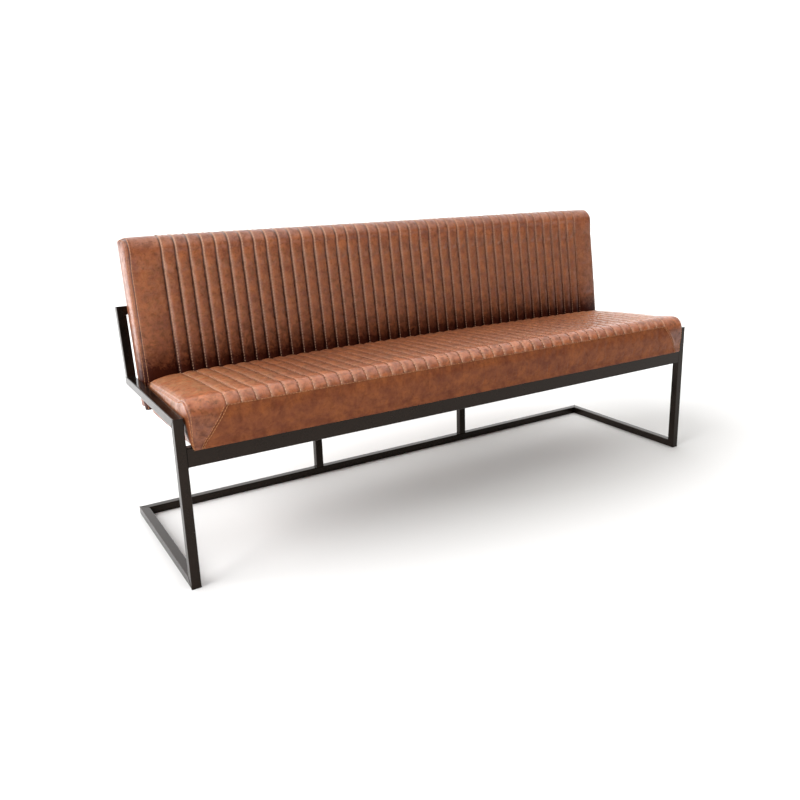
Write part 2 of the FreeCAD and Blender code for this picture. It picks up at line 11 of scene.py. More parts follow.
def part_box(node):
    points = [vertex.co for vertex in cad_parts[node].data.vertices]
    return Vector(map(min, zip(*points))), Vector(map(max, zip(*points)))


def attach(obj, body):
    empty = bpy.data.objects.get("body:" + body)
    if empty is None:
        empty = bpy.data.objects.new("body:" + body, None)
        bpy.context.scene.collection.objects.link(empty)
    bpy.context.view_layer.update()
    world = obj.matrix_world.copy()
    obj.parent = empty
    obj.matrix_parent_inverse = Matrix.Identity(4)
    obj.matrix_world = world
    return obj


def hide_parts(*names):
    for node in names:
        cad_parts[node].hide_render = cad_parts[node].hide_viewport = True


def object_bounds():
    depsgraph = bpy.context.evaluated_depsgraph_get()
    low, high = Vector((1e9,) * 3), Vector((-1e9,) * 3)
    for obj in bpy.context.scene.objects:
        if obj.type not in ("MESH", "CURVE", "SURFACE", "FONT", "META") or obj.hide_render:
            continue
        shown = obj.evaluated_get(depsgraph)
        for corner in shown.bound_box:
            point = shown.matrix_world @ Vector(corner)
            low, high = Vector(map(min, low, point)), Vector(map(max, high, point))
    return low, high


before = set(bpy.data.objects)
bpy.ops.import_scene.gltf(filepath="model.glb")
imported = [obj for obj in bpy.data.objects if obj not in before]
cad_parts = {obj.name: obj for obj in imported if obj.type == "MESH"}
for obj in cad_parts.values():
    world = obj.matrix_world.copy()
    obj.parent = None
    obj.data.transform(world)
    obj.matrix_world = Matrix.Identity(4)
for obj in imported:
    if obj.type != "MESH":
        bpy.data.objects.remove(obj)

bl_info = {
    "name": "Channelled leather bench",
    "version": (1, 0, 0),
    "blender": (4, 5, 0),
    "location": "3D View > Sidebar > Bench",
    "description": "Dresses the bench: leather cushions, thread, steel finish and a studio stage",
    "category": "Object",
}

CAD_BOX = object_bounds()
MM = 0.001
BODY = "root"
PADDING_FRAMES = 9
# Widths of folds and seams on the covers, and lengths over which shapes and marks fade out.
LIP_DEPTH = 11.5 * MM
PLAIN_RUN = 20 * MM
MITRE_SIDE = 10 * MM
SEAM_SIDE = 1.6 * MM
CORNER_RUN = 60 * MM
SEAM_DIP = 11 * MM
# The next reach is that of the pale strip beside a seam, partly painted sheen.
PULL_REACH = 7 * MM
STAIN_REACH = 1.2 * MM
# The next reach is that of painted shade on a seam's left side, wider than the dark joint.
LAP_REACH = 3.2 * MM
GROOVE_REACH = 1.5 * MM
SOIL_RUN = 0.3
# Marks on the leather, each an attribute from 0 to 1. Several carry painted light: sheen by the seams, light on
# upward faces, and shade in the seams, the fold and soiled places.
MARKS = ("seam", "pull", "fold", "soil", "fade", "worn")
CLOTH = {"quality": 4, "mass": 0.3, "tension_stiffness": 8.0, "compression_stiffness": 8.0, "bending_stiffness": 0.4,
         "use_pressure": True, "uniform_pressure_force": 8.0, "shrink_min": -0.02}

FRONT_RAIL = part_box("front_seat_rail")
SIDE_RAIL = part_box("right_side_rail")
SIDE_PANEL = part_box("seat_right_side_panel")
TUBE = SIDE_RAIL[1].x - SIDE_RAIL[0].x

SEAT_COVERS = ["channel_panel", "front_band", "left_end_panel", "right_end_panel",
               "left_side_panel", "right_side_panel", "rear_panel", "foam"]
BACK_COVERS = ["channel_panel", "top_band", "left_end_panel", "right_end_panel",
               "left_side_panel", "right_side_panel", "rear_panel", "foot_panel", "foam"]
STEEL_NODES = ["left_floor_rail", "right_floor_rail", "rear_floor_rail", "left_front_leg", "right_front_leg",
               "left_side_rail", "right_side_rail", "left_back_upright", "right_back_upright", "back_crossbar",
               "front_seat_rail", "left_support_post", "right_support_post", "left_seat_bearer",
               "right_seat_bearer", "seat_fixing_tabs", "back_foot_brackets"]
ZINC_NODES = ["seat_bolts", "back_bolts", "seat_tee_nuts", "back_tee_nuts"]
BOARD_NODES = ["seat_board", "back_board"]


def length(name, millimetres, text):
    """A size that a user may change, given in millimetres."""
    return FloatProperty(name=name, description=text, default=millimetres * MM, unit="LENGTH", precision=4)


def angle(name, degrees, text):
    """An angle that a user may change, given in degrees."""
    return FloatProperty(name=name, description=text, default=math.radians(degrees), subtype="ANGLE")


def number(name, value, text):
    """A plain number or share that a user may change."""
    return FloatProperty(name=name, description=text, default=value)


def linear(code):
    """Linear colour of an sRGB hex value."""
    made = []
    for start in (1, 3, 5):
        value = int(code[start:start + 2], 16) / 255
        made.append(value / 12.92 if value <= 0.04045 else ((value + 0.055) / 1.055) ** 2.4)
    return made


def colour(name, code, text):
    """A colour that a user may change, given as an sRGB hex value."""
    return FloatVectorProperty(name=name, description=text, default=linear(code), subtype="COLOR",
                               size=3, min=0.0, max=1.0)


CUSHION_FORM = (
    ("height", length, "Height", "Underside or rear panel to the top of the crown"),
    ("swell", length, "Swell", "Crown along the bench, middle above the ends"),
    ("lip", length, "Lip", "Band's fold that hangs in front of the rail"),
    ("bulge", length, "Bulge", "Side panels swollen outwards"),
    ("groove", length, "Groove", "Depth that the thread pulls a seam in"),
    ("edge_relief", number, "Relief at the roll", "Share of the rise left on the roll"),
    ("roll", length, "Roll", "Rounding of the front or top edge"),
    ("crown", length, "Crown", "Radius of the crown, from the roll to the rear or foot"),
    ("apex", length, "Apex", "Top of the crown behind the rolled edge"),
    ("band_seam", angle, "Band seam", "Place of the band's seam on the roll"),
    ("tuck", length, "Tuck", "Band drawn in at the board"),
    ("foot", length, "Straight foot", "Height of the band's straight foot"),
    ("mitre_run", length, "Mitre run", "Width that the diagonal corner seam covers, or 0 for square ends"),
    ("end_roll", length, "End roll", "Rounding where the cover turns over an end"),
    ("corner_roll", length, "Corner roll", "The same rounding at the corners of the rolled edge"),
    ("draw_in", length, "Draw in", "Ends drawn in at the board, or flared below zero"),
    ("droop", length, "Droop", "Rear corners lower than the crown"),
    ("rear_round", length, "Rear rounding", "Crown turned down at the rear or foot"),
    ("lean", angle, "Lean", "Fall of the seat towards the back, or lean of the back"),
    ("rise", length, "Rise", "Crest of a channel above its seams"),
    ("end_seam", angle, "End seam", "Place of the end seam on the end's rounding"),
    ("end_fall", angle, "End fall", "Slope of the plain end where its rounding starts"),
    ("fullness", number, "Fullness", "How flat a channel's crest is"),
    # The dark fold of seat and back is painted shade.
    ("fold_reach", length, "Fold reach", "How far the dark fold of seat and back shows on the cover"),
    # Soiled thread and leather are darkened as dirt and as painted shade.
    ("soil_from", number, "Soil from", "Share of the depth where the thread is soiled"),
    ("soil_run", number, "Soil run", "Share of the depth over which the soil sets in"),
    # Painted light: the seams' shade and sheen and the thread's brightness fade from the left end to the right.
    ("slack", number, "Slack", "How much looser the seams are at the right than at the left"),
    ("sharp", number, "Sharp foot", "Share of the rounding that is left at the board"),
)


def cushion_form(**values):
    """The properties of a cushion's form, in millimetres, degrees or shares."""
    return {key: kind(name, values[key], text) for key, kind, name, text in CUSHION_FORM}


class SeatSizes(bpy.types.PropertyGroup):
    """Outside form of the seat cushion."""

    __annotations__ = cushion_form(
        height=119.0, swell=5.0, lip=6.0, bulge=6.0, groove=1.4, edge_relief=0.35, roll=41.0, crown=5600.0,
        apex=60.0, band_seam=24.5, tuck=9.0, foot=18.8, mitre_run=74.0, end_roll=26.0, corner_roll=17.0,
        draw_in=9.0, droop=2.0, rear_round=9.0, lean=2.0, rise=4.0, end_seam=52.0, end_fall=10.0, fullness=3.0,
        fold_reach=7.0, soil_from=0.02, soil_run=0.035, slack=0.2, sharp=0.3)


class BackSizes(bpy.types.PropertyGroup):
    """Outside form of the back cushion."""

    __annotations__ = cushion_form(
        height=85.0, swell=0.0, lip=0.0, bulge=2.0, groove=2.2, edge_relief=0.2, roll=42.0, crown=9000.0,
        apex=230.0, band_seam=0.0, tuck=3.0, foot=21.0, mitre_run=0.0, end_roll=24.0, corner_roll=24.0,
        draw_in=-2.5, droop=0.0, rear_round=4.0, lean=8.0, rise=8.0, end_seam=35.0, end_fall=8.0, fullness=3.0,
        fold_reach=70.0, soil_from=0.8, soil_run=0.15, slack=0.5, sharp=0.5)


class CoverSizes(bpy.types.PropertyGroup):
    """What the two cushions' covers share."""

    channels: IntProperty(name="Channels", description="Sewn channels side by side", default=40, min=1)
    plain_end: length("Plain end", 98.0, "Plain cover at each end of the channels")
    row_step: length("Row step", 6.0, "Mesh spacing along a channel")
    puff_limit: length("Puff limit", 4.0, "Farthest that the filling may push the cover")


class ThreadSizes(bpy.types.PropertyGroup):
    """Stitches."""

    pitch: length("Pitch", 8.6, "One stitch to the next")
    stitch: length("Stitch", 6.2, "Length of a pale stitch")
    thickness: length("Thickness", 2.3, "Thickness of the pale thread")
    fine_stitch: length("Fine stitch", 8.2, "Length of a brown stitch")
    fine: length("Fine thread", 1.5, "Thickness of the brown thread")


class WeldSizes(bpy.types.PropertyGroup):
    """Beads of weld."""

    fillet: length("Fillet", 2.2, "Radius of a bead in a corner")
    flush: length("Flush bead", 0.7, "Radius of a bead that was ground on a mitre")


class Finishes(bpy.types.PropertyGroup):
    """Colours of the bench."""

    leather: colour("Leather", "#864A2B", "Main colour of the waxed leather")
    leather_deep: colour("Leather, deep", "#733C24", "Deeper clouds in the leather")
    leather_warm: colour("Leather, warm", "#96552E", "Warm patches")
    # This colour also darkens soiled places, partly as painted shade.
    leather_dark: colour("Leather, dark", "#4A2515", "Dark smudges and flecks")
    # This colour is partly painted sheen on upward faces.
    leather_pale: colour("Leather, pale", "#C69A70", "Pulled and rubbed places")
    # This colour is partly painted sheen beside the seams.
    leather_pull: colour("Leather, pulled", "#C4957A", "Leather that the thread has pulled pale")
    # This colour is a dark joint, with painted shade on each seam's left side.
    leather_seam: colour("Leather, seam", "#32150A", "Leather drawn in at the seams")
    # This colour is painted shade in the fold of seat and back.
    leather_fold: colour("Leather, fold", "#340B02", "Unfaded leather in the fold of seat and back")
    thread: colour("Thread", "#D2A585", "Thread of the channels")
    thread_brown: colour("Brown thread", "#C28452", "Thread of the band, the corners and the ends")
    steel: colour("Steel", "#120D0A", "Coated steel")
    steel_dust: colour("Steel, dusty", "#1B1410", "Dust on the coated steel")
    board: colour("Board", "#C29C6C", "Plywood")
    board_grain: colour("Board, grain", "#9C7548", "Grain of the plywood")
    dust_cloth: colour("Dust cloth", "#161515", "Cloth under the seat")
    dust_fibre: colour("Dust cloth, fibres", "#2B2A29", "Fibres of that cloth")
    zinc: colour("Zinc", "#B4B7BA", "Plated bolts and nuts")
    zinc_dull: colour("Zinc, dull", "#8F9396", "Dull crystals of the plating")
    plug: colour("Plug", "#121212", "Plastic plugs")
    # The floor is darker at the bench as a painted shadow.
    floor: colour("Floor", "#D0CFCD", "Studio floor at the bench")
    floor_far: colour("Floor, far", "#FCFCFC", "Studio floor away from the bench")


class Studio(bpy.types.PropertyGroup):
    """The camera."""

    camera_place: FloatVectorProperty(name="Camera", description="Place of the camera",
                                      default=(-1.322, -2.0795, 1.010), subtype="TRANSLATION")
    camera_turn: angle("Turn", 32.32, "Turn of the camera to the right")
    camera_tilt: angle("Tilt", 15.42, "Tilt of the camera downwards")
    camera_roll: angle("Roll", 1.25, "Roll of the camera")
    lens: number("Lens", 35.06, "Focal length, in millimetres")
    shift: FloatVectorProperty(name="Shift", description="Shift of the picture", size=2,
                               default=(-0.0386, -0.0199))


class BenchSettings(bpy.types.PropertyGroup):
    """All settings of the bench."""

    seat: PointerProperty(type=SeatSizes)
    back: PointerProperty(type=BackSizes)
    covers: PointerProperty(type=CoverSizes)
    thread: PointerProperty(type=ThreadSizes)
    welds: PointerProperty(type=WeldSizes)
    finishes: PointerProperty(type=Finishes)
    studio: PointerProperty(type=Studio)


# A row of the cover's grid: its place and normal in the section, its distance from the band's seam, and shares that
# say how far it is quilted, shifted by a mitre, at the rolled edge, to the rear, free of the board, soft and raised.
Row = namedtuple("Row", "place normal quilted shift corner rear free seam soft relief",
                 defaults=(0.0, 0.0, 0.0, 0.0, 0.0, 1.0, 1.0, 0.0))
# A column: its place along the bench, turn over the end, share of the way to the end's middle, distance to a channel
# seam, and 1 at a seam to 0 on a crest.
Column = namedtuple("Column", "x turn close seam crest", defaults=(0.0, 0.0, 1.0, 1.0))
# A hide: the width of its spots in millimetres, and how strong each mark on it is. Several of its marks are partly
# painted light: sheen by the seams, light on upward faces, shade in the seams and on soiled places.
Hide = namedtuple("Hide", "spot wear mottle grime stain pulled lift gloss")
SEAT_HIDE = Hide(spot=18, wear=0.8, mottle=0.7, grime=0.35, stain=0.06, pulled=0.5, lift=1.65, gloss=1.0)
BAND_HIDE = Hide(spot=13, wear=0.2, mottle=0.35, grime=0.0, stain=0.35, pulled=0.0, lift=0.88, gloss=0.1)
BACK_HIDE = Hide(spot=14, wear=0.25, mottle=0.5, grime=0.1, stain=0.85, pulled=0.6, lift=1.28, gloss=1.0)


def smooth_step(value):
    """Runs from 0 to 1 with level ends."""
    value = min(max(value, 0.0), 1.0)
    return value * value * (3 - 2 * value)


def spread(count):
    """Shares from 0 to 1, without the last one."""
    return [index / count for index in range(count)]


def rounded_off(apart, edge):
    """Distance of a point from a corner once its edge is rounded off, with no two points in one place."""
    return max(apart, edge + apart / 2)


def roll_height(sizes):
    """Height of the roll's centre above the underside."""
    return sizes.height - sizes.crown + math.sqrt((sizes.crown - sizes.roll) ** 2 - (sizes.apex - sizes.roll) ** 2)


class Cushion:
    """A cushion's cover as a grid: columns along the bench, rows round its section.

    Its own frame has Y back from the rolled edge and Z up from the underside.
    """

    half = SIDE_PANEL[1].x

    def __init__(self, label, sizes, covers, place, rear, fold_place):
        self.label = label
        self.sizes = sizes
        self.covers = covers
        self.place = place
        self.fold_place = fold_place
        self.rear_foot, self.rear_head = rear
        self.crown_centre = Vector((sizes.apex, sizes.height - sizes.crown))
        self.roll_centre = Vector((sizes.roll, roll_height(sizes)))
        self.seam_x = self.half - covers.plain_end
        self.pitch = 2 * self.seam_x / covers.channels
        self.plain_reach = self.half - sizes.corner_roll * (1 - math.sin(sizes.end_fall))
        self.lap = 1 if place.col[0].x > 0 else -2
        self.to_own = place.inverted()
        self.rows = self.make_rows()
        self.columns = self.make_columns()

    def make_rows(self):
        """Points round the section, from the rear foot along the underside, over the front and back down."""
        sizes = self.sizes
        step = self.covers.row_step
        up = Vector((0.0, 1.0))
        front = Vector((-1.0, 0.0))
        drop = self.roll_centre.y - sizes.foot
        band = (drop ** 2 + sizes.tuck ** 2) / (2 * sizes.tuck)
        foot = Vector((sizes.tuck, 0.0))
        way = (self.rear_head - self.rear_foot).normalized()
        rear_normal = Vector((way.y, -way.x))
        rows = []
        sharp = sizes.sharp

        lip_back = Vector((sizes.tuck + LIP_DEPTH, 0.0))
        for share in (*spread(8), 1.0):
            rows.append(Row(self.rear_foot.lerp(lip_back, share), -up, shift=1.0, soft=sharp))
        for share in (0.8, 0.4):
            hung = foot.lerp(lip_back, share) - up * (sizes.lip * (1.2 - share / 2))
            rows.append(Row(hung, -up, shift=1.0, soft=sharp))
        for share in spread(4):
            z = sizes.foot * share - sizes.lip * (1 - share)
            rows.append(Row(foot + up * z, front, shift=self.mitre_share(z), corner=1.0, free=0.3 * share,
                            soft=sharp))
        band_turn = math.asin(drop / band)
        count = round(drop / step)
        for share in spread(count):
            turn = band_turn * (1 - share)
            out = Vector((-math.cos(turn), -math.sin(turn)))
            place = Vector((band, self.roll_centre.y)) + out * band
            soft = sharp + (1 - sharp) * share
            rows.append(Row(place, out, shift=self.mitre_share(place.y), corner=1.0, free=1.0, soft=soft))

        slope = self.roll_centre - self.crown_centre
        roll_end = math.atan2(slope.y, -slope.x)
        seam = sizes.band_seam
        beside = SEAM_SIDE / sizes.roll
        turns = [seam * share for share in spread(3)] + [seam - beside] if seam else []
        count = round((roll_end - seam) * sizes.roll / step)
        turns += [seam, seam + beside] + [seam + (roll_end - seam) * (share + 1 / count) for share in spread(count)]
        for turn in turns[:-1]:
            out = Vector((-math.cos(turn), math.sin(turn)))
            place = self.roll_centre + out * sizes.roll
            quilted = 1.0 if turn >= seam else 0.0
            apart = abs(turn - seam) * sizes.roll
            shift = self.mitre_share(place.y) if turn < seam else 0.0
            rows.append(Row(place, out, quilted, shift, corner=1.0, free=1.0, seam=apart,
                            relief=sizes.edge_relief * quilted))

        start = math.atan2(slope.y, slope.x)
        rear_top = self.rear_crown(way)
        end = math.atan2(rear_top.y - self.crown_centre.y, rear_top.x - self.crown_centre.x)
        reach = (start - end) * sizes.crown
        count = round(reach / step)
        for share in spread(count):
            turn = start + (end - start) * share
            out = Vector((math.cos(turn), math.sin(turn)))
            gone = share * reach
            corner = 1 - smooth_step(gone / CORNER_RUN)
            relief = 1 - (1 - sizes.edge_relief) * corner
            place = self.crown_centre + out * sizes.crown
            rows.append(Row(place, out, quilted=1.0, corner=corner, rear=share, free=1.0, relief=relief))

        for share in spread(12):
            place = rear_top.lerp(self.rear_foot, share)
            out = up.lerp(rear_normal, smooth_step(share * 6)).normalized()
            soft = 1 - (1 - sharp) * smooth_step(share * 1.2)
            quilted = max(0.0, 1 - share * 6)
            rows.append(Row(place, out, quilted, shift=share, rear=1.0, soft=soft, relief=quilted))
        return rows

    def mitre_share(self, z):
        """How far the diagonal seam has run outwards at a height."""
        top = self.roll_centre.y + self.sizes.roll * math.sin(self.sizes.band_seam)
        return min(max(1 - z / top, 0.0), 1.0)

    def rear_crown(self, way):
        """Point where the flat rear meets the crown."""
        offset = self.rear_foot - self.crown_centre
        along = offset.dot(way)
        return self.rear_foot + way * (math.sqrt(self.sizes.crown ** 2 - offset.dot(offset) + along ** 2) - along)

    def make_columns(self):
        """Stations from the middle of one end to the middle of the other."""
        offsets = [0.0, SEAM_SIDE, 4.5 * MM, 9.0 * MM, 14.0 * MM, self.pitch / 2]
        offsets += [self.pitch - offset for offset in reversed(offsets[1:5])]
        middle = []
        for channel in range(self.covers.channels):
            for offset in offsets:
                middle.append(Column(-self.seam_x + channel * self.pitch + offset,
                                     seam=min(offset, self.pitch - offset), crest=abs(2 * offset / self.pitch - 1)))
        middle.append(Column(self.seam_x, seam=0.0))
        near = [SEAM_SIDE, 4.5 * MM, 9.0 * MM, 16.0 * MM]
        plain = self.plain_reach - self.seam_x
        end = []
        for offset in near + [near[-1] + (plain - near[-1]) * (share + 1 / 6) for share in spread(6)]:
            end.append(Column(self.seam_x + offset, seam=offset))
        seam = self.sizes.end_seam
        fall = self.sizes.end_fall
        tight = 2.0 * MM / self.sizes.end_roll
        before = [fall + (seam - tight - fall) * (share + 1 / 5) for share in spread(5)]
        after = [seam + tight + (math.pi / 2 - seam - tight) * share for share in (*spread(4), 1.0)]
        for turn in before + [seam] + after:
            end.append(Column(self.plain_reach, turn))
        for close in (0.1, 0.25, 0.45, 0.65, 0.82):
            end.append(Column(self.plain_reach, math.pi / 2, close))
        other = [Column(-column.x, *column[1:]) for column in reversed(end)]
        return other + middle + end

    def point(self, column, row):
        """Place of one grid point in the cushion's own frame."""
        sizes = self.sizes
        side = math.copysign(1.0, column.x)
        reach = abs(column.x)
        roll = (sizes.end_roll + (sizes.corner_roll - sizes.end_roll) * row.corner) * row.soft
        fall = sizes.end_fall * max(row.free, row.quilted) * (1 - 0.85 * row.corner)
        flat = self.half - roll * (1 - math.sin(fall))
        start = self.seam_x + sizes.mitre_run * row.shift
        pillow = (flat - start) * math.tan(fall) / 2
        if column.turn:
            turned = (column.turn - sizes.end_fall) / (math.pi / 2 - sizes.end_fall)
            turn = fall + (math.pi / 2 - fall) * turned
            x = flat + roll * (math.sin(turn) - math.sin(fall))
            inset = pillow + roll * (math.cos(fall) - math.cos(turn))
        elif reach <= self.seam_x:
            x = reach * start / self.seam_x
            inset = sizes.rise * row.relief * column.crest ** sizes.fullness
        else:
            share = (reach - self.seam_x) / (self.plain_reach - self.seam_x)
            x = start + (flat - start) * share
            inset = pillow * share ** 2 + sizes.rise * row.relief * math.exp(-column.seam / SEAM_DIP)
        outer = smooth_step((reach - self.seam_x * 0.93) / (self.half - self.seam_x * 0.93))
        inset += sizes.droop * outer * smooth_step(row.rear * 1.25 - 0.1)
        inset += sizes.rear_round * smooth_step((row.rear - 0.88) / 0.12)
        inset -= sizes.swell * max(row.normal.y, 0.0) * (1 - (reach / self.half) ** 2)
        place = row.place - row.normal * inset
        if row.normal.y < -0.5:
            place.x = min(place.x, self.rear_foot.x - sizes.rear_round - inset)
            place.x = sizes.tuck + rounded_off(place.x - sizes.tuck, inset)
        elif column.turn:
            low = -sizes.lip * row.corner
            place.y = low + rounded_off(place.y - low, roll * (1 - math.cos(column.turn)))
        deep = sizes.height / 2
        middle = Vector((min(max(place.x, deep), self.rear_foot.x - deep), deep))
        place = place.lerp(middle, column.close)
        x -= sizes.draw_in * (1 - place.y / sizes.height) * smooth_step((x - self.seam_x) / (self.half - self.seam_x))
        x += sizes.bulge * (1 - (1 - column.close) ** 2)
        return Vector((side * x, place.x, place.y))

    def seam_distance(self, column, row):
        """Distance of a grid point to the nearest seam."""
        apart = row.seam if abs(column.x) <= self.seam_x else 1.0
        mitred = self.sizes.mitre_run and row.shift and not row.rear and abs(abs(column.x) - self.seam_x) < MITRE_SIDE
        if row.quilted or mitred:
            apart = min(apart, column.seam)
        if column.turn and (row.free or row.rear):
            apart = min(apart, self.sizes.end_roll * abs(self.sizes.end_seam - column.turn) + column.close)
        return apart

    def along(self, column):
        """Place along the bench from the first channel seam on the left, as seen from the front."""
        return math.copysign(column.x, column.x * self.lap) + self.seam_x + MM / 1000

    def past_seam(self, column):
        """Distance from the channel seam on the left, and None left of the first one."""
        along = self.along(column)
        if along < 0:
            return None
        return along % self.pitch if along < 2 * self.seam_x else along - 2 * self.seam_x

    def pull(self, column, row):
        """How pale the leather is beside a channel seam, from 0 to 1: pulled pale by the thread, and painted sheen on
        the lit slope right of the seam, less towards the rear and to the right.
        """
        past = self.past_seam(column)
        if past is None or not row.quilted:
            return 0.0
        flattened = 0.7 * smooth_step((row.rear - 0.15) / 0.65)
        return (1 - flattened) * self.tight(column) * math.exp(-(past / PULL_REACH) ** 2)

    def tight(self, column):
        """How strong the seams' painted shade and sheen are, from 1 at the left to less at the right, as painted
        light that falls from the left.
        """
        return 1 - self.sizes.slack * smooth_step(self.along(column) / (2 * self.seam_x))

    def stain(self, column, row):
        """How dark the leather is beside a seam, from 0 to 1: a dark joint, with painted shade that reaches wider on
        the seam's left side, as seen from the front.
        """
        apart = self.seam_distance(column, row)
        past = self.past_seam(column)
        lies = row.quilted and apart == column.seam and (past is None or past > self.pitch / 2)
        return self.tight(column) * math.exp(-apart / (LAP_REACH if lies else STAIN_REACH))

    def fold(self, row):
        """How deep a row lies in the fold between the seat and the back, from 0 to 1, where the leather gets painted
        shade.
        """
        apart = max(self.fold_place - row.place.x, 0.0)
        return math.exp(-apart / self.sizes.fold_reach) if row.quilted else 0.0

    def soil(self, place, run):
        """How soiled a place is, from 0 to 1: dirt where people sit and painted shade, most towards the seat's rear
        and the back's foot, least at the ends and at the rolled edge.
        """
        own = self.to_own @ place
        deep = smooth_step((own.y / self.rear_foot.x - self.sizes.soil_from) / run)
        return deep * (1 - smooth_step((abs(own.x) / self.half - 0.55) / 0.4))

    def thread_soil(self, place):
        """How soiled the thread is, from 0 to 1: dirt and painted shade as on the leather, and painted shade that
        grows towards the right.
        """
        loose = 0.8 * self.sizes.slack * smooth_step((place.x + self.seam_x) / (2 * self.seam_x))
        return min(max(self.soil(place, self.sizes.soil_run), loose), 1.0)

    def fade(self, column, row):
        """How far the leather is lightened, from 0 on the flat sides to 1 on the rolled edge: bleached by light and
        use, and painted light that makes upward faces lighter.
        """
        crown = math.sqrt(max(row.normal.y, 0.0)) * (0.7 + 0.3 * row.corner)
        return crown * (1 - 0.6 * column.turn / (math.pi / 2))

    def wear(self, column, row, soil):
        """How far use has rubbed the wax off, from 0 to 1: on the crown, where grime has not filled it again. Its
        pale colour is partly painted sheen on upward faces.
        """
        return self.fade(column, row) * (1 - 0.85 * row.corner) * (1 - 0.6 * soil)

    def held(self, column, row):
        """How firmly a grid point is sewn or glued down, from 0 to 1."""
        seam = column.seam == 0.0 and row.quilted > 0.0
        end_seam = column.turn == self.sizes.end_seam
        middle = column.close > 0.5
        band_seam = row.seam == 0.0 and abs(column.x) <= self.seam_x
        return 1.0 if seam or end_seam or middle or band_seam else 1.0 - row.free


def make_mesh(name, bm):
    """New object at the origin from a bmesh."""
    mesh = bpy.data.meshes.new(name)
    bm.to_mesh(mesh)
    bm.free()
    piece = bpy.data.objects.new(name, mesh)
    bpy.context.scene.collection.objects.link(piece)
    return piece


def sew_cover(cushion):
    """The cover as one closed mesh, in the bench's frame, with its grid kept as attributes."""
    bm = bmesh.new()
    row_of = bm.verts.layers.int.new("row")
    column_of = bm.verts.layers.int.new("column")
    across = len(cushion.columns) - 1
    around = len(cushion.rows)
    bmesh.ops.create_grid(bm, x_segments=across, y_segments=around, size=0.5)
    for vert in bm.verts:
        vert[column_of] = round((vert.co.x + 0.5) * across)
        vert[row_of] = round((vert.co.y + 0.5) * around) % around
        vert.co = cushion.point(cushion.columns[vert[column_of]], cushion.rows[vert[row_of]])
    bmesh.ops.remove_doubles(bm, verts=[vert for vert in bm.verts if vert.is_boundary], dist=1e-7)
    for end in (0, across):
        loop = [edge for edge in bm.edges if all(vert[column_of] == end for vert in edge.verts)]
        bmesh.ops.triangle_fill(bm, edges=loop, use_beauty=True)
    bmesh.ops.transform(bm, matrix=cushion.place, verts=bm.verts)
    bmesh.ops.recalc_face_normals(bm, faces=bm.faces)
    for face in bm.faces:
        face.smooth = True
    return make_mesh(cushion.label + "_cushion", bm)


def grid_spots(piece, cushion):
    """The column and row of each of a cover's vertices."""
    rows = piece.data.attributes["row"].data
    columns = piece.data.attributes["column"].data
    return [(cushion.columns[columns[index].value], cushion.rows[rows[index].value])
            for index in range(len(piece.data.vertices))]


def pad_out(piece, cushion):
    """Lets the filling push the cover out between its seams, as a cloth under pressure, and keeps the result."""
    rest = [vert.co.copy() for vert in piece.data.vertices]
    sewn = piece.vertex_groups.new(name="sewn")
    for index, spot in enumerate(grid_spots(piece, cushion)):
        held = cushion.held(*spot)
        if held:
            sewn.add([index], held, "REPLACE")
    cloth = piece.modifiers.new("filling", "CLOTH")
    for name, value in CLOTH.items():
        setattr(cloth.settings, name, value)
    cloth.settings.vertex_group_mass = sewn.name
    cloth.settings.effector_weights.gravity = 0.0
    cloth.collision_settings.use_collision = False
    cloth.collision_settings.use_self_collision = False
    scene = bpy.context.scene
    cloth.point_cache.frame_start = 1
    cloth.point_cache.frame_end = PADDING_FRAMES
    for frame_number in range(1, PADDING_FRAMES + 1):
        scene.frame_set(frame_number)
    shaped = piece.evaluated_get(bpy.context.evaluated_depsgraph_get())
    puffed = [vert.co.copy() for vert in shaped.data.vertices]
    piece.modifiers.remove(cloth)
    piece.vertex_groups.remove(sewn)
    scene.frame_set(1)
    limit = cushion.covers.puff_limit
    for vert, before, after, (column, _) in zip(piece.data.vertices, rest, puffed, grid_spots(piece, cushion)):
        move = after - before
        plain = smooth_step((abs(column.x) - cushion.seam_x) / PLAIN_RUN)
        vert.co = before + move * (limit / max(limit, move.length)) * (1 - 0.65 * plain)


def pull_seams(piece, cushion):
    """Draws the seams in under the thread, and marks the leather's seams, fold and worn places, with the marks for
    painted sheen beside the seams and painted shade in the seams, the fold and soiled places.
    """
    groove = cushion.sizes.groove
    spots = grid_spots(piece, cushion)
    normals = [normal.vector.copy() for normal in piece.data.vertex_normals]
    marks = []
    for vert, normal, (column, row) in zip(piece.data.vertices, normals, spots):
        apart = cushion.seam_distance(column, row)
        vert.co -= normal * (groove * math.exp(-apart / GROOVE_REACH))
        soil = cushion.soil(vert.co, SOIL_RUN)
        marks.append((cushion.stain(column, row), cushion.pull(column, row), cushion.fold(row), soil,
                      cushion.fade(column, row), cushion.wear(column, row, soil)))
    for name, values in zip(MARKS, zip(*marks)):
        piece.data.attributes.new(name, "FLOAT", "POINT").data.foreach_set("value", values)


def bench_settings():
    """The scene's bench settings."""
    return bpy.context.scene.bench


def tilt(place, x_axis, y_axis, z_axis):
    """Matrix of a frame from its origin and axes."""
    turned = Matrix((x_axis, y_axis, z_axis)).transposed().to_4x4()
    turned.translation = place
    return turned


def back_frame(sizes):
    """The back's frame: its rear lies on the uprights' front faces, and its Y runs down."""
    lean = sizes.lean
    roll_z = roll_height(sizes)
    z = CAD_BOX[1].z - sizes.roll * (1 - math.cos(lean)) - roll_z * math.sin(lean)
    y = SIDE_RAIL[1].y - TUBE / math.cos(lean) + (z - SIDE_RAIL[1].z) * math.tan(lean)
    down = Vector((0, -math.sin(lean), -math.cos(lean)))
    forward = Vector((0, -math.cos(lean), math.sin(lean)))
    return tilt(Vector((0, y, z)), Vector((-1, 0, 0)), down, forward)


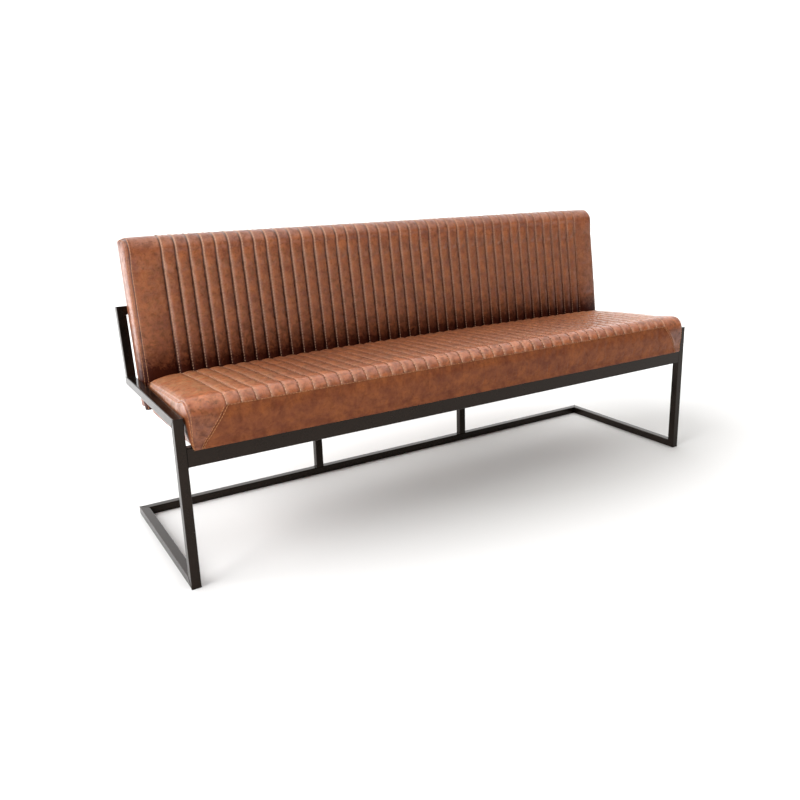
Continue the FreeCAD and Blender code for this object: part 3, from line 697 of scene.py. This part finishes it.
def seat_frame(sizes):
    """The seat's frame: it rests on the front rail's rear edge and falls to the back."""
    fall = sizes.lean
    roll_z = roll_height(sizes)
    y = CAD_BOX[0].y - roll_z * math.sin(fall)
    z = FRONT_RAIL[1].z + (FRONT_RAIL[1].y - y) * math.tan(fall)
    behind = Vector((0, math.cos(fall), -math.sin(fall)))
    above = Vector((0, math.sin(fall), math.cos(fall)))
    return tilt(Vector((0, y, z)), Vector((1, 0, 0)), behind, above)


def make_cushions():
    """The two cushions' forms."""
    settings = bench_settings()
    back_place = back_frame(settings.back)
    seat_place = seat_frame(settings.seat)
    foot_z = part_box("back_foot_panel")[0].z
    foot = (back_place.translation.z - foot_z) / math.cos(settings.back.lean)
    gap = 1.5 * MM
    front = settings.back.height + gap - settings.back.rise
    to_seat = seat_place.inverted() @ back_place
    low = to_seat @ Vector((0, foot, front))
    high = to_seat @ Vector((0, 0, front))
    low += (high - low) * (-low.z / (high.z - low.z))
    seat_rear = (Vector((low.y, low.z)), Vector((high.y, high.z)))
    back_rear = (Vector((foot, 0.0)), Vector((foot, settings.back.height)))
    junction = to_seat.inverted() @ Vector((0, seat_rear[0].x, settings.seat.height - settings.seat.rear_round))
    seat = Cushion("seat", settings.seat, settings.covers, seat_place, seat_rear, seat_rear[0].x)
    back = Cushion("back", settings.back, settings.covers, back_place, back_rear, junction.y)
    return {"seat": seat, "back": back}


def finish_cushion(label, covers, leathers):
    """Makes one cushion and puts it in the place of its CAD covers."""
    cushion = make_cushions()[label]
    piece = sew_cover(cushion)
    pad_out(piece, cushion)
    pull_seams(piece, cushion)
    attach(piece, BODY)
    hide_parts(*[label + "_" + cover for cover in covers])
    for leather in leathers:
        piece.data.materials.append(leather)
    if len(leathers) > 1:
        cut_band(piece, cushion)


def cut_band(piece, cushion):
    """Gives the band between the corner seams its own leather."""
    spots = grid_spots(piece, cushion)
    for face in piece.data.polygons:
        corners = [spots[index] for index in face.vertices]
        across = all(abs(column.x) <= cushion.seam_x + MM / 10 for column, _ in corners)
        front = all(row.corner == 1.0 for _, row in corners) and any(not row.quilted for _, row in corners)
        face.material_index = 1 if across and front else 0


def add_node(tree, kind, settings=None, links=None, stops=None):
    """Adds a node. Settings go to its properties or sockets, links to its sockets, stops to its ramp.

    A link from a node is one from its first output in use.
    """
    made = tree.nodes.new("ShaderNode" + kind)
    for name, value in (settings or {}).items():
        if isinstance(name, str) and hasattr(made, name):
            setattr(made, name, value)
        else:
            made.inputs[name].default_value = value
    for name, source in (links or {}).items():
        if isinstance(source, bpy.types.Node):
            source = next(output for output in source.outputs if output.enabled)
        tree.links.new(source, made.inputs[name])
    for index, (place, shade) in enumerate(stops or []):
        ramp = made.color_ramp.elements
        stop = ramp[index] if index < len(ramp) else ramp.new(place)
        stop.position = place
        stop.color = (*shade, 1.0)
    return made


def per_mm(size):
    """Scale of a pattern on Object coordinates whose features are so many millimetres wide."""
    return 1 / (size * MM)


def make_material(name, build, *looks):
    """The material of that name. Its function gets a way to add nodes, Object coordinates and the colours."""
    made = bpy.data.materials.get(name)
    if made is None:
        made = bpy.data.materials.new(name)
        made.use_nodes = True
        made.node_tree.nodes.clear()
        add = partial(add_node, made.node_tree)
        shader = build(add, add("TexCoord").outputs["Object"], bench_settings().finishes, *looks)
        add("OutputMaterial", links={"Surface": shader})
    return made


def waxed_leather(add, place, shades, hide):
    """Waxed cowhide that pales where stretched: clouded brown with dark flecks, pale where pulled or rubbed, dark in
    its seams, with painted light: sheen by the seams, light on upward faces, shade in the seams, the fold and soiled
    places.
    """
    cloud = add("TexNoise", {"Scale": per_mm(34), "Detail": 6.0, "Roughness": 0.62}, {"Vector": place})
    patch = add("TexNoise", {"Scale": per_mm(hide.spot), "Detail": 5.0, "Roughness": 0.6, "Distortion": 0.5},
                {"Vector": place})
    speck = add("TexNoise", {"Scale": per_mm(hide.spot / 2.4), "Detail": 3.0, "Roughness": 0.6}, {"Vector": place})
    scuff = add("TexNoise", {"Scale": per_mm(hide.spot), "Detail": 8.0, "Roughness": 0.7, "Distortion": 1.2},
                {"Vector": place})
    seam, pull, fold, soil, fade, used = [add("Attribute", {"attribute_name": mark}).outputs["Fac"] for mark in MARKS]
    tone = add("ValToRGB", links={"Fac": cloud},
               stops=[(0.34, shades.leather_deep), (0.5, shades.leather), (0.68, shades.leather_warm)])
    # Painted light: upward faces are lightened along with the bleaching.
    bleach = add("MapRange", {"To Min": 0.88, "To Max": hide.lift}, {"Value": fade})
    base = add("VectorMath", {"operation": "SCALE"}, {"Vector": tone, "Scale": bleach})
    smudge = add("MapRange", {"From Min": 0.48, "From Max": 0.7, "To Max": hide.mottle}, {"Value": patch})
    fleck = add("MapRange", {"From Min": 0.53, "From Max": 0.74, "To Max": hide.mottle}, {"Value": speck})
    scuffed = add("MapRange", {"From Min": 0.42, "From Max": 0.66, "To Max": hide.wear}, {"Value": scuff})
    # Rubbed wear, partly painted sheen on upward faces.
    rubbed = add("Math", {"operation": "MULTIPLY"}, {0: scuffed, 1: used})
    # Painted sheen beside the seams, with leather pulled pale there.
    paler = add("MapRange", {"From Min": 0.05, "To Max": hide.pulled}, {"Value": pull})
    # Dark seam joints, with painted shade on each seam's left side.
    sunk = add("MapRange", {"From Min": 0.1, "From Max": 0.8, "To Max": hide.stain}, {"Value": seam})
    # Dirt and painted shade on soiled places.
    handled = add("MapRange", {"To Max": hide.grime}, {"Value": soil})
    # Painted shade in the fold of seat and back, with a ragged edge.
    ragged = add("Math", {"operation": "MULTIPLY_ADD", 1: 1.3, 2: -0.65}, {0: scuff})
    folded = add("Math", {"operation": "ADD"}, {0: fold, 1: ragged})
    hidden = add("MapRange", {"From Min": 0.15, "From Max": 0.85, "To Max": 0.97}, {"Value": folded})
    layers = ((smudge, shades.leather_dark), (fleck, shades.leather_dark), (rubbed, shades.leather_pale),
              (paler, shades.leather_pull), (sunk, shades.leather_seam), (handled, shades.leather_dark),
              (hidden, shades.leather_fold))
    for mask, shade in layers:
        base = add("Mix", {"data_type": "RGBA", 7: (*shade, 1.0)}, {0: mask, 6: base})
    # The leather's grain is drawn coarser than it is, so that it shows.
    grain = add("TexVoronoi", {"Scale": per_mm(2.4), "feature": "DISTANCE_TO_EDGE"}, {"Vector": place})
    fine = add("Bump", {"Strength": 0.3, "Distance": 0.0006}, {"Height": grain})
    bump = add("Bump", {"Strength": 0.4, "Distance": 0.0012}, {"Height": scuff, "Normal": fine})
    rough = add("MapRange", {"To Min": 0.36, "To Max": 0.56}, {"Value": patch})
    waxed = add("MapRange", {"To Min": hide.gloss, "To Max": 0.0}, {"Value": hidden})
    dry = add("MapRange", {"From Min": 0.42, "From Max": 0.62, "To Min": 1.0, "To Max": 0.55}, {"Value": patch})
    polish = add("MapRange", {"From Max": 0.6, "To Min": 0.7, "To Max": 1.0}, {"Value": fade})
    patchy = add("Math", {"operation": "MULTIPLY"}, {0: dry, 1: polish})
    wax = add("Math", {"operation": "MULTIPLY"}, {0: waxed, 1: patchy})
    return add("BsdfPrincipled", {"IOR": 1.5, "Specular IOR Level": 0.1, "Coat Roughness": 0.36, "Coat IOR": 1.5},
               {"Base Color": base, "Roughness": rough, "Normal": bump, "Coat Weight": wax, "Coat Normal": bump})


def powder_coat(add, place, shades):
    """Black powder coat on welded tube: satin, with a fine orange peel and a little dust in it."""
    dust = add("TexNoise", {"Scale": per_mm(45), "Detail": 8.0, "Roughness": 0.65}, {"Vector": place})
    peel = add("TexNoise", {"Scale": per_mm(1.6), "Detail": 2.0}, {"Vector": place})
    base = add("ValToRGB", links={"Fac": dust}, stops=[(0.4, shades.steel), (0.75, shades.steel_dust)])
    rough = add("MapRange", {"From Min": 0.3, "From Max": 0.7, "To Min": 0.1, "To Max": 0.22}, {"Value": dust})
    bump = add("Bump", {"Strength": 0.12, "Distance": 0.0001}, {"Height": peel})
    return add("BsdfPrincipled", {"IOR": 1.5, "Specular IOR Level": 0.2, "Specular Tint": (1.0, 0.82, 0.7, 1.0)},
               {"Base Color": base, "Roughness": rough, "Normal": bump})


def zinc_plate(add, place, shades):
    """Bright zinc plating on pressed steel: grey metal with a faint crystal pattern and dull patches."""
    crystal = add("TexVoronoi", {"Scale": per_mm(2.5)}, {"Vector": place})
    dull = add("TexNoise", {"Scale": per_mm(6), "Detail": 4.0}, {"Vector": place})
    base = add("ValToRGB", links={"Fac": crystal}, stops=[(0.2, shades.zinc), (0.8, shades.zinc_dull)])
    rough = add("MapRange", {"To Min": 0.26, "To Max": 0.5}, {"Value": dull})
    return add("BsdfPrincipled", {"Metallic": 1.0}, {"Base Color": base, "Roughness": rough})


def birch_plywood(add, place, shades):
    """Sanded birch plywood: pale, with long grain along the bench and fine pores."""
    drawn = add("Mapping", {"Scale": (0.06, 1.0, 1.0)}, {"Vector": place})
    grain = add("TexNoise", {"Scale": per_mm(7), "Detail": 6.0, "Roughness": 0.6, "Distortion": 0.4},
                {"Vector": drawn})
    pores = add("TexNoise", {"Scale": per_mm(1.2), "Detail": 2.0}, {"Vector": drawn})
    base = add("ValToRGB", links={"Fac": grain}, stops=[(0.35, shades.board_grain), (0.6, shades.board)])
    bump = add("Bump", {"Strength": 0.3, "Distance": 0.0002}, {"Height": pores})
    rough = add("MapRange", {"To Min": 0.5, "To Max": 0.7}, {"Value": grain})
    return add("BsdfPrincipled", {"IOR": 1.5}, {"Base Color": base, "Roughness": rough, "Normal": bump})


def dust_cloth(add, place, shades):
    """Spun-bonded polypropylene: matt black cloth with rows of small pressed dots and loose fibres."""
    dots = add("TexVoronoi", {"Scale": per_mm(3), "Randomness": 0.15}, {"Vector": place})
    fibre = add("TexNoise", {"Scale": per_mm(5), "Detail": 8.0, "Roughness": 0.8, "Distortion": 1.5},
                {"Vector": place})
    base = add("ValToRGB", links={"Fac": fibre}, stops=[(0.35, shades.dust_cloth), (0.7, shades.dust_fibre)])
    bump = add("Bump", {"Strength": 0.5, "Distance": 0.0004}, {"Height": dots})
    rough = add("MapRange", {"To Min": 0.75, "To Max": 0.95}, {"Value": fibre})
    return add("BsdfPrincipled", {"IOR": 1.49}, {"Base Color": base, "Roughness": rough, "Normal": bump})


def moulded_plug(add, place, shades):
    """Moulded polypropylene: black, with the mould's fine matt texture, drawn coarse enough to show."""
    grit = add("TexNoise", {"Scale": per_mm(1.0), "Detail": 3.0}, {"Vector": place})
    base = add("ValToRGB", links={"Fac": grit}, stops=[(0.4, shades.plug), (0.7, shades.steel_dust)])
    bump = add("Bump", {"Strength": 0.4, "Distance": 0.0001}, {"Height": grit})
    rough = add("MapRange", {"To Min": 0.42, "To Max": 0.6}, {"Value": grit})
    return add("BsdfPrincipled", {"IOR": 1.49}, {"Base Color": base, "Roughness": rough, "Normal": bump})


def studio_paper(add, place, shades):
    """Seamless background paper: matt, with hardly any tooth, darker round the bench as a painted shadow and white
    away from it.
    """
    tooth = add("TexNoise", {"Scale": per_mm(2.5), "Detail": 2.0}, {"Vector": place})
    middle = add("Mapping", {"Location": (-0.28, 0.05, 0.0), "Scale": (0.55, 1.0, 1.0)}, {"Vector": place})
    apart = add("VectorMath", {"operation": "LENGTH"}, {"Vector": middle})
    # Painted shadow: the paper darkens towards the bench.
    far = add("MapRange", {"From Min": 0.3, "From Max": 1.15}, {"Value": apart})
    base = add("Mix", {"data_type": "RGBA", 6: (*shades.floor, 1.0), 7: (*shades.floor_far, 1.0)}, {0: far})
    bump = add("Bump", {"Strength": 0.1, "Distance": 0.0002}, {"Height": tooth})
    return add("BsdfPrincipled", {"Roughness": 0.9}, {"Base Color": base, "Normal": bump})


def waxed_thread(add, place, shades, tone):
    """Bonded polyester thread: a soft gloss, a fine twist, and brown grime where people sit, partly painted shade,
    which also darkens it towards the right.
    """
    shade = shades.thread if tone == "pale" else shades.thread_brown
    soil = add("Attribute", {"attribute_name": "soil"}).outputs["Fac"]
    cloud = add("TexNoise", {"Scale": per_mm(30), "Detail": 3.0}, {"Vector": place})
    # Dirt and painted shade darken the thread.
    cover = add("Math", {"operation": "MULTIPLY_ADD", 2: 0.1}, {0: soil, 1: cloud})
    dirt = add("MapRange", {"From Min": 0.0, "From Max": 0.55, "To Max": 0.95}, {"Value": cover})
    base = add("Mix", {"data_type": "RGBA", 6: (*shade, 1.0), 7: (*shades.leather_deep, 1.0)}, {0: dirt})
    twist = add("TexNoise", {"Scale": per_mm(0.8), "Detail": 1.0}, {"Vector": place})
    bump = add("Bump", {"Strength": 0.3, "Distance": 0.0002}, {"Height": twist})
    rough = add("MapRange", {"To Min": 0.4, "To Max": 0.65}, {"Value": cloud})
    return add("BsdfPrincipled", {"IOR": 1.5}, {"Base Color": base, "Roughness": rough, "Normal": bump})


def dress(nodes, material):
    """Gives CAD nodes a finish."""
    for name in nodes:
        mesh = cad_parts[name].data
        mesh.materials.clear()
        mesh.materials.append(material)


class BENCH_OT_seat(bpy.types.Operator):
    """Make the seat cushion"""

    bl_idname = "bench.seat"
    bl_label = "Seat cushion"

    def execute(self, context):
        top = make_material("waxed_cowhide_seat", waxed_leather, SEAT_HIDE)
        band = make_material("waxed_cowhide_band", waxed_leather, BAND_HIDE)
        finish_cushion("seat", SEAT_COVERS, [top, band])
        return {"FINISHED"}


class BENCH_OT_back(bpy.types.Operator):
    """Make the back cushion"""

    bl_idname = "bench.back"
    bl_label = "Back cushion"

    def execute(self, context):
        leather = make_material("waxed_cowhide_back", waxed_leather, BACK_HIDE)
        finish_cushion("back", BACK_COVERS, [leather])
        return {"FINISHED"}


def seam_runs(cushion):
    """Runs of pale and of brown thread over a cover, each a list of grid places."""
    columns = cushion.columns
    rows = cushion.rows
    seams = [index for index, column in enumerate(columns) if column.seam == 0.0]
    quilted = [index for index, row in enumerate(rows) if row.quilted == 1.0]
    band = [index for index, row in enumerate(rows) if row.corner == 1.0 and not row.quilted]
    shown = [index for index, row in enumerate(rows) if row.corner == 1.0 or row.quilted == 1.0]
    pale = [[(seam + cushion.lap, row) for row in quilted] for seam in seams]
    below = quilted[0] - 1
    brown = [[(column, below) for column in range(seams[0] + 1, seams[-1])]]
    for seam in (seams[0], seams[-1]):
        for beside in (-2, 2):
            if cushion.sizes.mitre_run:
                brown.append([(seam + beside, row) for row in band])
    for index, column in enumerate(columns):
        if column.turn == cushion.sizes.end_seam:
            for beside in (-2, 2):
                brown.append([(index + beside, row) for row in shown])
    return {"pale": pale, "brown": brown}


def stitch_shape(long, thickness):
    """One stitch along X: a plump thread that dives into the leather at both ends."""
    bm = bmesh.new()
    bmesh.ops.create_uvsphere(bm, u_segments=6, v_segments=4, radius=1.0,
                              matrix=Matrix.Rotation(math.pi / 2, 4, "Y"))
    bmesh.ops.scale(bm, vec=(long / 2, thickness / 2, thickness / 2), verts=bm.verts)
    for face in bm.faces:
        face.smooth = True
    mesh = bpy.data.meshes.new("stitch")
    bm.to_mesh(mesh)
    bm.free()
    return mesh


def stitch_places(run, thread):
    """Matrices of the stitches along a run of points and normals."""
    places = []
    left = thread.pitch / 2
    for (start, out), (end, _) in zip(run, run[1:]):
        way = end - start
        gone = left
        while gone < way.length:
            along = way.normalized()
            side = out.cross(along).normalized()
            up = along.cross(side)
            places.append(tilt(start + along * gone + up * (thread.thickness * 0.3), along, side, up))
            gone += thread.pitch
        left = gone - way.length
    return places


def sew_thread(label):
    """All the visible stitches of a cushion, as one piece for each thread."""
    thread = bench_settings().thread
    cushion = make_cushions()[label]
    cover = bpy.data.objects[label + "_cushion"].data
    rows = cover.attributes["row"].data
    columns = cover.attributes["column"].data
    grid = {}
    for index, vert in enumerate(cover.vertices):
        grid[columns[index].value, rows[index].value] = (vert.co, vert.normal)
    for tone, runs in seam_runs(cushion).items():
        sizes = (thread.stitch, thread.thickness) if tone == "pale" else (thread.fine_stitch, thread.fine)
        stitch = stitch_shape(*sizes)
        bm = bmesh.new()
        soils = []
        for run in runs:
            for place in stitch_places([grid[spot] for spot in run], thread):
                stitch.transform(place)
                bm.from_mesh(stitch)
                stitch.transform(place.inverted())
                soils += [cushion.thread_soil(place.translation)] * len(stitch.vertices)
        piece = make_mesh(label + "_" + tone + "_stitching", bm)
        piece.data.attributes.new("soil", "FLOAT", "POINT").data.foreach_set("value", soils)
        piece.data.materials.append(make_material("bonded_thread_" + tone, waxed_thread, tone))
        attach(piece, BODY)
        bpy.data.meshes.remove(stitch)


class BENCH_OT_thread(bpy.types.Operator):
    """Sew the stitches of both cushions"""

    bl_idname = "bench.thread"
    bl_label = "Stitching"

    def execute(self, context):
        for label in ("seat", "back"):
            sew_thread(label)
        return {"FINISHED"}


class BENCH_OT_steel(bpy.types.Operator):
    """Give the frame and its small parts their finishes"""

    bl_idname = "bench.steel"
    bl_label = "Frame finishes"

    def execute(self, context):
        dress(STEEL_NODES, make_material("powder_coated_steel", powder_coat))
        dress(ZINC_NODES, make_material("zinc_plated_steel", zinc_plate))
        dress(BOARD_NODES, make_material("birch_plywood", birch_plywood))
        dress(["seat_dust_cover"], make_material("spunbonded_cloth", dust_cloth))
        dress(["side_rail_end_plugs"], make_material("moulded_polypropylene", moulded_plug))
        return {"FINISHED"}


def fillet_lines():
    """Lines where one tube stands against another and a bead of weld shows in the corner."""
    lines = []
    edge = 3.0 * MM
    for side in ("left", "right"):
        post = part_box(side + "_support_post")
        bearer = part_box(side + "_seat_bearer")
        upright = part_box(side + "_back_upright")
        for index in (0, 1):
            x = post[index].x
            lines.append((Vector((x, post[0].y + edge, post[0].z)), Vector((x, post[1].y - edge, post[0].z))))
            x = bearer[index].x
            lines.append((Vector((x, bearer[0].y, bearer[1].z - TUBE + edge)),
                          Vector((x, bearer[0].y, bearer[1].z - edge))))
            x = FRONT_RAIL[0].x if side == "left" else FRONT_RAIL[1].x
            z = FRONT_RAIL[index].z
            lines.append((Vector((x, FRONT_RAIL[0].y + edge, z)), Vector((x, FRONT_RAIL[1].y - edge, z))))
        lines.append((Vector((upright[0].x + edge, upright[0].y, upright[0].z)),
                      Vector((upright[1].x - edge, upright[0].y, upright[0].z))))
    return lines


def mitre_lines():
    """Lines of the mitred corners, where the weld was ground almost flush."""
    lines = []
    for side in ("left", "right"):
        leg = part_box(side + "_front_leg")
        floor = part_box(side + "_floor_rail")
        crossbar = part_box("back_crossbar")
        for x in (leg[0].x, leg[1].x):
            lines.append((Vector((x, leg[0].y, leg[1].z)), Vector((x, leg[1].y, leg[1].z - TUBE))))
            lines.append((Vector((x, leg[0].y, leg[0].z)), Vector((x, leg[1].y, leg[0].z + TUBE))))
        outer, inner = (leg[0].x, leg[1].x) if side == "left" else (leg[1].x, leg[0].x)
        lines.append((Vector((outer, floor[1].y, floor[1].z)), Vector((inner, floor[1].y - TUBE, floor[1].z))))
        lean = bench_settings().back.lean
        drop = Vector((0, -math.sin(lean), -math.cos(lean))) * TUBE
        top = Vector((0, crossbar[1].y - TUBE * math.cos(lean), crossbar[1].z))
        lines.append((top + Vector((outer, 0, 0)), top + drop + Vector((inner, 0, 0))))
    return lines


def run_bead(bm, line, radius):
    """A bead of weld: overlapping ripples along a line."""
    start, end = line
    count = round((end - start).length / radius)
    for index in range(count + 1):
        place = Matrix.Translation(start.lerp(end, index / count))
        bmesh.ops.create_icosphere(bm, subdivisions=1, radius=radius, matrix=place)


class BENCH_OT_welds(bpy.types.Operator):
    """Lay the beads of weld on the frame's joints"""

    bl_idname = "bench.welds"
    bl_label = "Weld beads"

    def execute(self, context):
        welds = context.scene.bench.welds
        bm = bmesh.new()
        for line in fillet_lines():
            run_bead(bm, line, welds.fillet)
        for line in mitre_lines():
            run_bead(bm, line, welds.flush)
        for face in bm.faces:
            face.smooth = True
        piece = make_mesh("weld_beads", bm)
        piece.data.materials.append(make_material("powder_coated_steel", powder_coat))
        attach(piece, BODY)
        return {"FINISHED"}


def aimed(place, target):
    """Turn that points an object's -Z at a target."""
    return (Vector(target) - Vector(place)).to_track_quat("-Z", "Y").to_euler()


class BENCH_OT_stage(bpy.types.Operator):
    """Set the floor, the lights and the camera"""

    bl_idname = "bench.stage"
    bl_label = "Studio stage"

    def execute(self, context):
        self.lay_floor()
        self.hang_lights(context.scene)
        self.set_camera(context.scene, context.scene.bench.studio)
        return {"FINISHED"}

    def lay_floor(self):
        """Paper under the bench and all round it."""
        bm = bmesh.new()
        bmesh.ops.create_grid(bm, x_segments=1, y_segments=1, size=30.0)
        floor = make_mesh("studio_floor", bm)
        floor.data.materials.append(make_material("studio_paper", studio_paper))

    def hang_lights(self, scene):
        """A bright room with two broad suns and two soft panels."""
        world = bpy.data.worlds.new("studio")
        world.use_nodes = True
        add = partial(add_node, world.node_tree)
        # The light comes mostly from behind the bench. To the camera the background is plain white.
        depth = add("SeparateXYZ", links={"Vector": add("TexCoord").outputs["Generated"]}).outputs["Y"]
        glow = add("MapRange", {"From Min": -0.1, "From Max": 0.4, "To Min": 0.05, "To Max": 1.8}, {"Value": depth})
        seen = add("LightPath").outputs["Is Camera Ray"]
        paper = add("Math", {"operation": "MULTIPLY", 1: 1.8}, {0: seen})
        bright = add("Math", {"operation": "MAXIMUM"}, {0: paper, 1: glow}).outputs[0]
        background = world.node_tree.nodes["Background"].inputs
        world.node_tree.links.new(bright, background["Strength"])
        background["Color"].default_value = (1.0, 1.0, 1.0, 1.0)
        scene.world = world
        for name, energy, degrees, place in (("skylight", 2.2, 45, (-2.5, -0.2, 2.4)),
                                             ("ceiling", 1.5, 60, (1.0, -1.0, 3.0))):
            light = bpy.data.lights.new(name, "SUN")
            light.energy = energy
            light.angle = math.radians(degrees)
            self.hang(scene, light, place)
        for name, energy, size, place in (("softbox", 24.0, (1.3, 0.9), (-3.3, -1.1, 0.8)),
                                          ("window", 20.0, (1.8, 0.7), (-2.6, 2.1, 0.4))):
            light = bpy.data.lights.new(name, "AREA")
            light.energy = energy
            light.shape = "RECTANGLE"
            light.size, light.size_y = size
            self.hang(scene, light, place)

    def hang(self, scene, light, place):
        """Aims one lamp at the bench and keeps it out of the picture."""
        lamp = bpy.data.objects.new(light.name, light)
        lamp.location = place
        lamp.rotation_euler = aimed(place, (0.0, 0.0, 0.4))
        lamp.visible_camera = False
        scene.collection.objects.link(lamp)

    def set_camera(self, scene, studio):
        """The camera of the front view, with colours shown as they are."""
        turn, dip, roll = studio.camera_turn, studio.camera_tilt, studio.camera_roll
        ahead = Vector((math.sin(turn) * math.cos(dip), math.cos(turn) * math.cos(dip), -math.sin(dip)))
        level = Vector((math.cos(turn), -math.sin(turn), 0.0))
        down = ahead.cross(level)
        right = level * math.cos(roll) + down * math.sin(roll)
        below = down * math.cos(roll) - level * math.sin(roll)
        view = bpy.data.cameras.new("photo_view")
        view.lens = studio.lens
        view.sensor_width = 36.0
        view.shift_x, view.shift_y = studio.shift
        camera = bpy.data.objects.new("photo_view", view)
        camera.matrix_world = tilt(Vector(studio.camera_place), right, -below, -ahead)
        scene.collection.objects.link(camera)
        scene.camera = camera
        scene.view_settings.view_transform = "Standard"


class BENCH_PT_panel(bpy.types.Panel):
    """The bench's steps and settings"""

    bl_idname = "BENCH_PT_panel"
    bl_label = "Bench"
    bl_space_type = "VIEW_3D"
    bl_region_type = "UI"
    bl_category = "Bench"

    def draw(self, context):
        for step in STEPS:
            self.layout.operator(step.bl_idname)
        for group in ("seat", "back", "covers", "thread", "welds", "finishes", "studio"):
            settings = getattr(context.scene.bench, group)
            box = self.layout.box()
            box.label(text=group.capitalize())
            for name in settings.__annotations__:
                box.prop(settings, name)


SETTINGS = (SeatSizes, BackSizes, CoverSizes, ThreadSizes, WeldSizes, Finishes, Studio, BenchSettings)
STEPS = (BENCH_OT_stage, BENCH_OT_seat, BENCH_OT_back, BENCH_OT_thread, BENCH_OT_steel, BENCH_OT_welds)


def register():
    for made in SETTINGS + STEPS + (BENCH_PT_panel,):
        bpy.utils.register_class(made)
    bpy.types.Scene.bench = PointerProperty(type=BenchSettings)


def unregister():
    del bpy.types.Scene.bench
    for made in reversed(SETTINGS + STEPS + (BENCH_PT_panel,)):
        bpy.utils.unregister_class(made)


def main():
    register()
    bpy.ops.bench.stage()
    bpy.ops.bench.seat()
    bpy.ops.bench.back()
    bpy.ops.bench.thread()
    bpy.ops.bench.steel()
    bpy.ops.bench.welds()


if __name__ == "__main__":
    main()
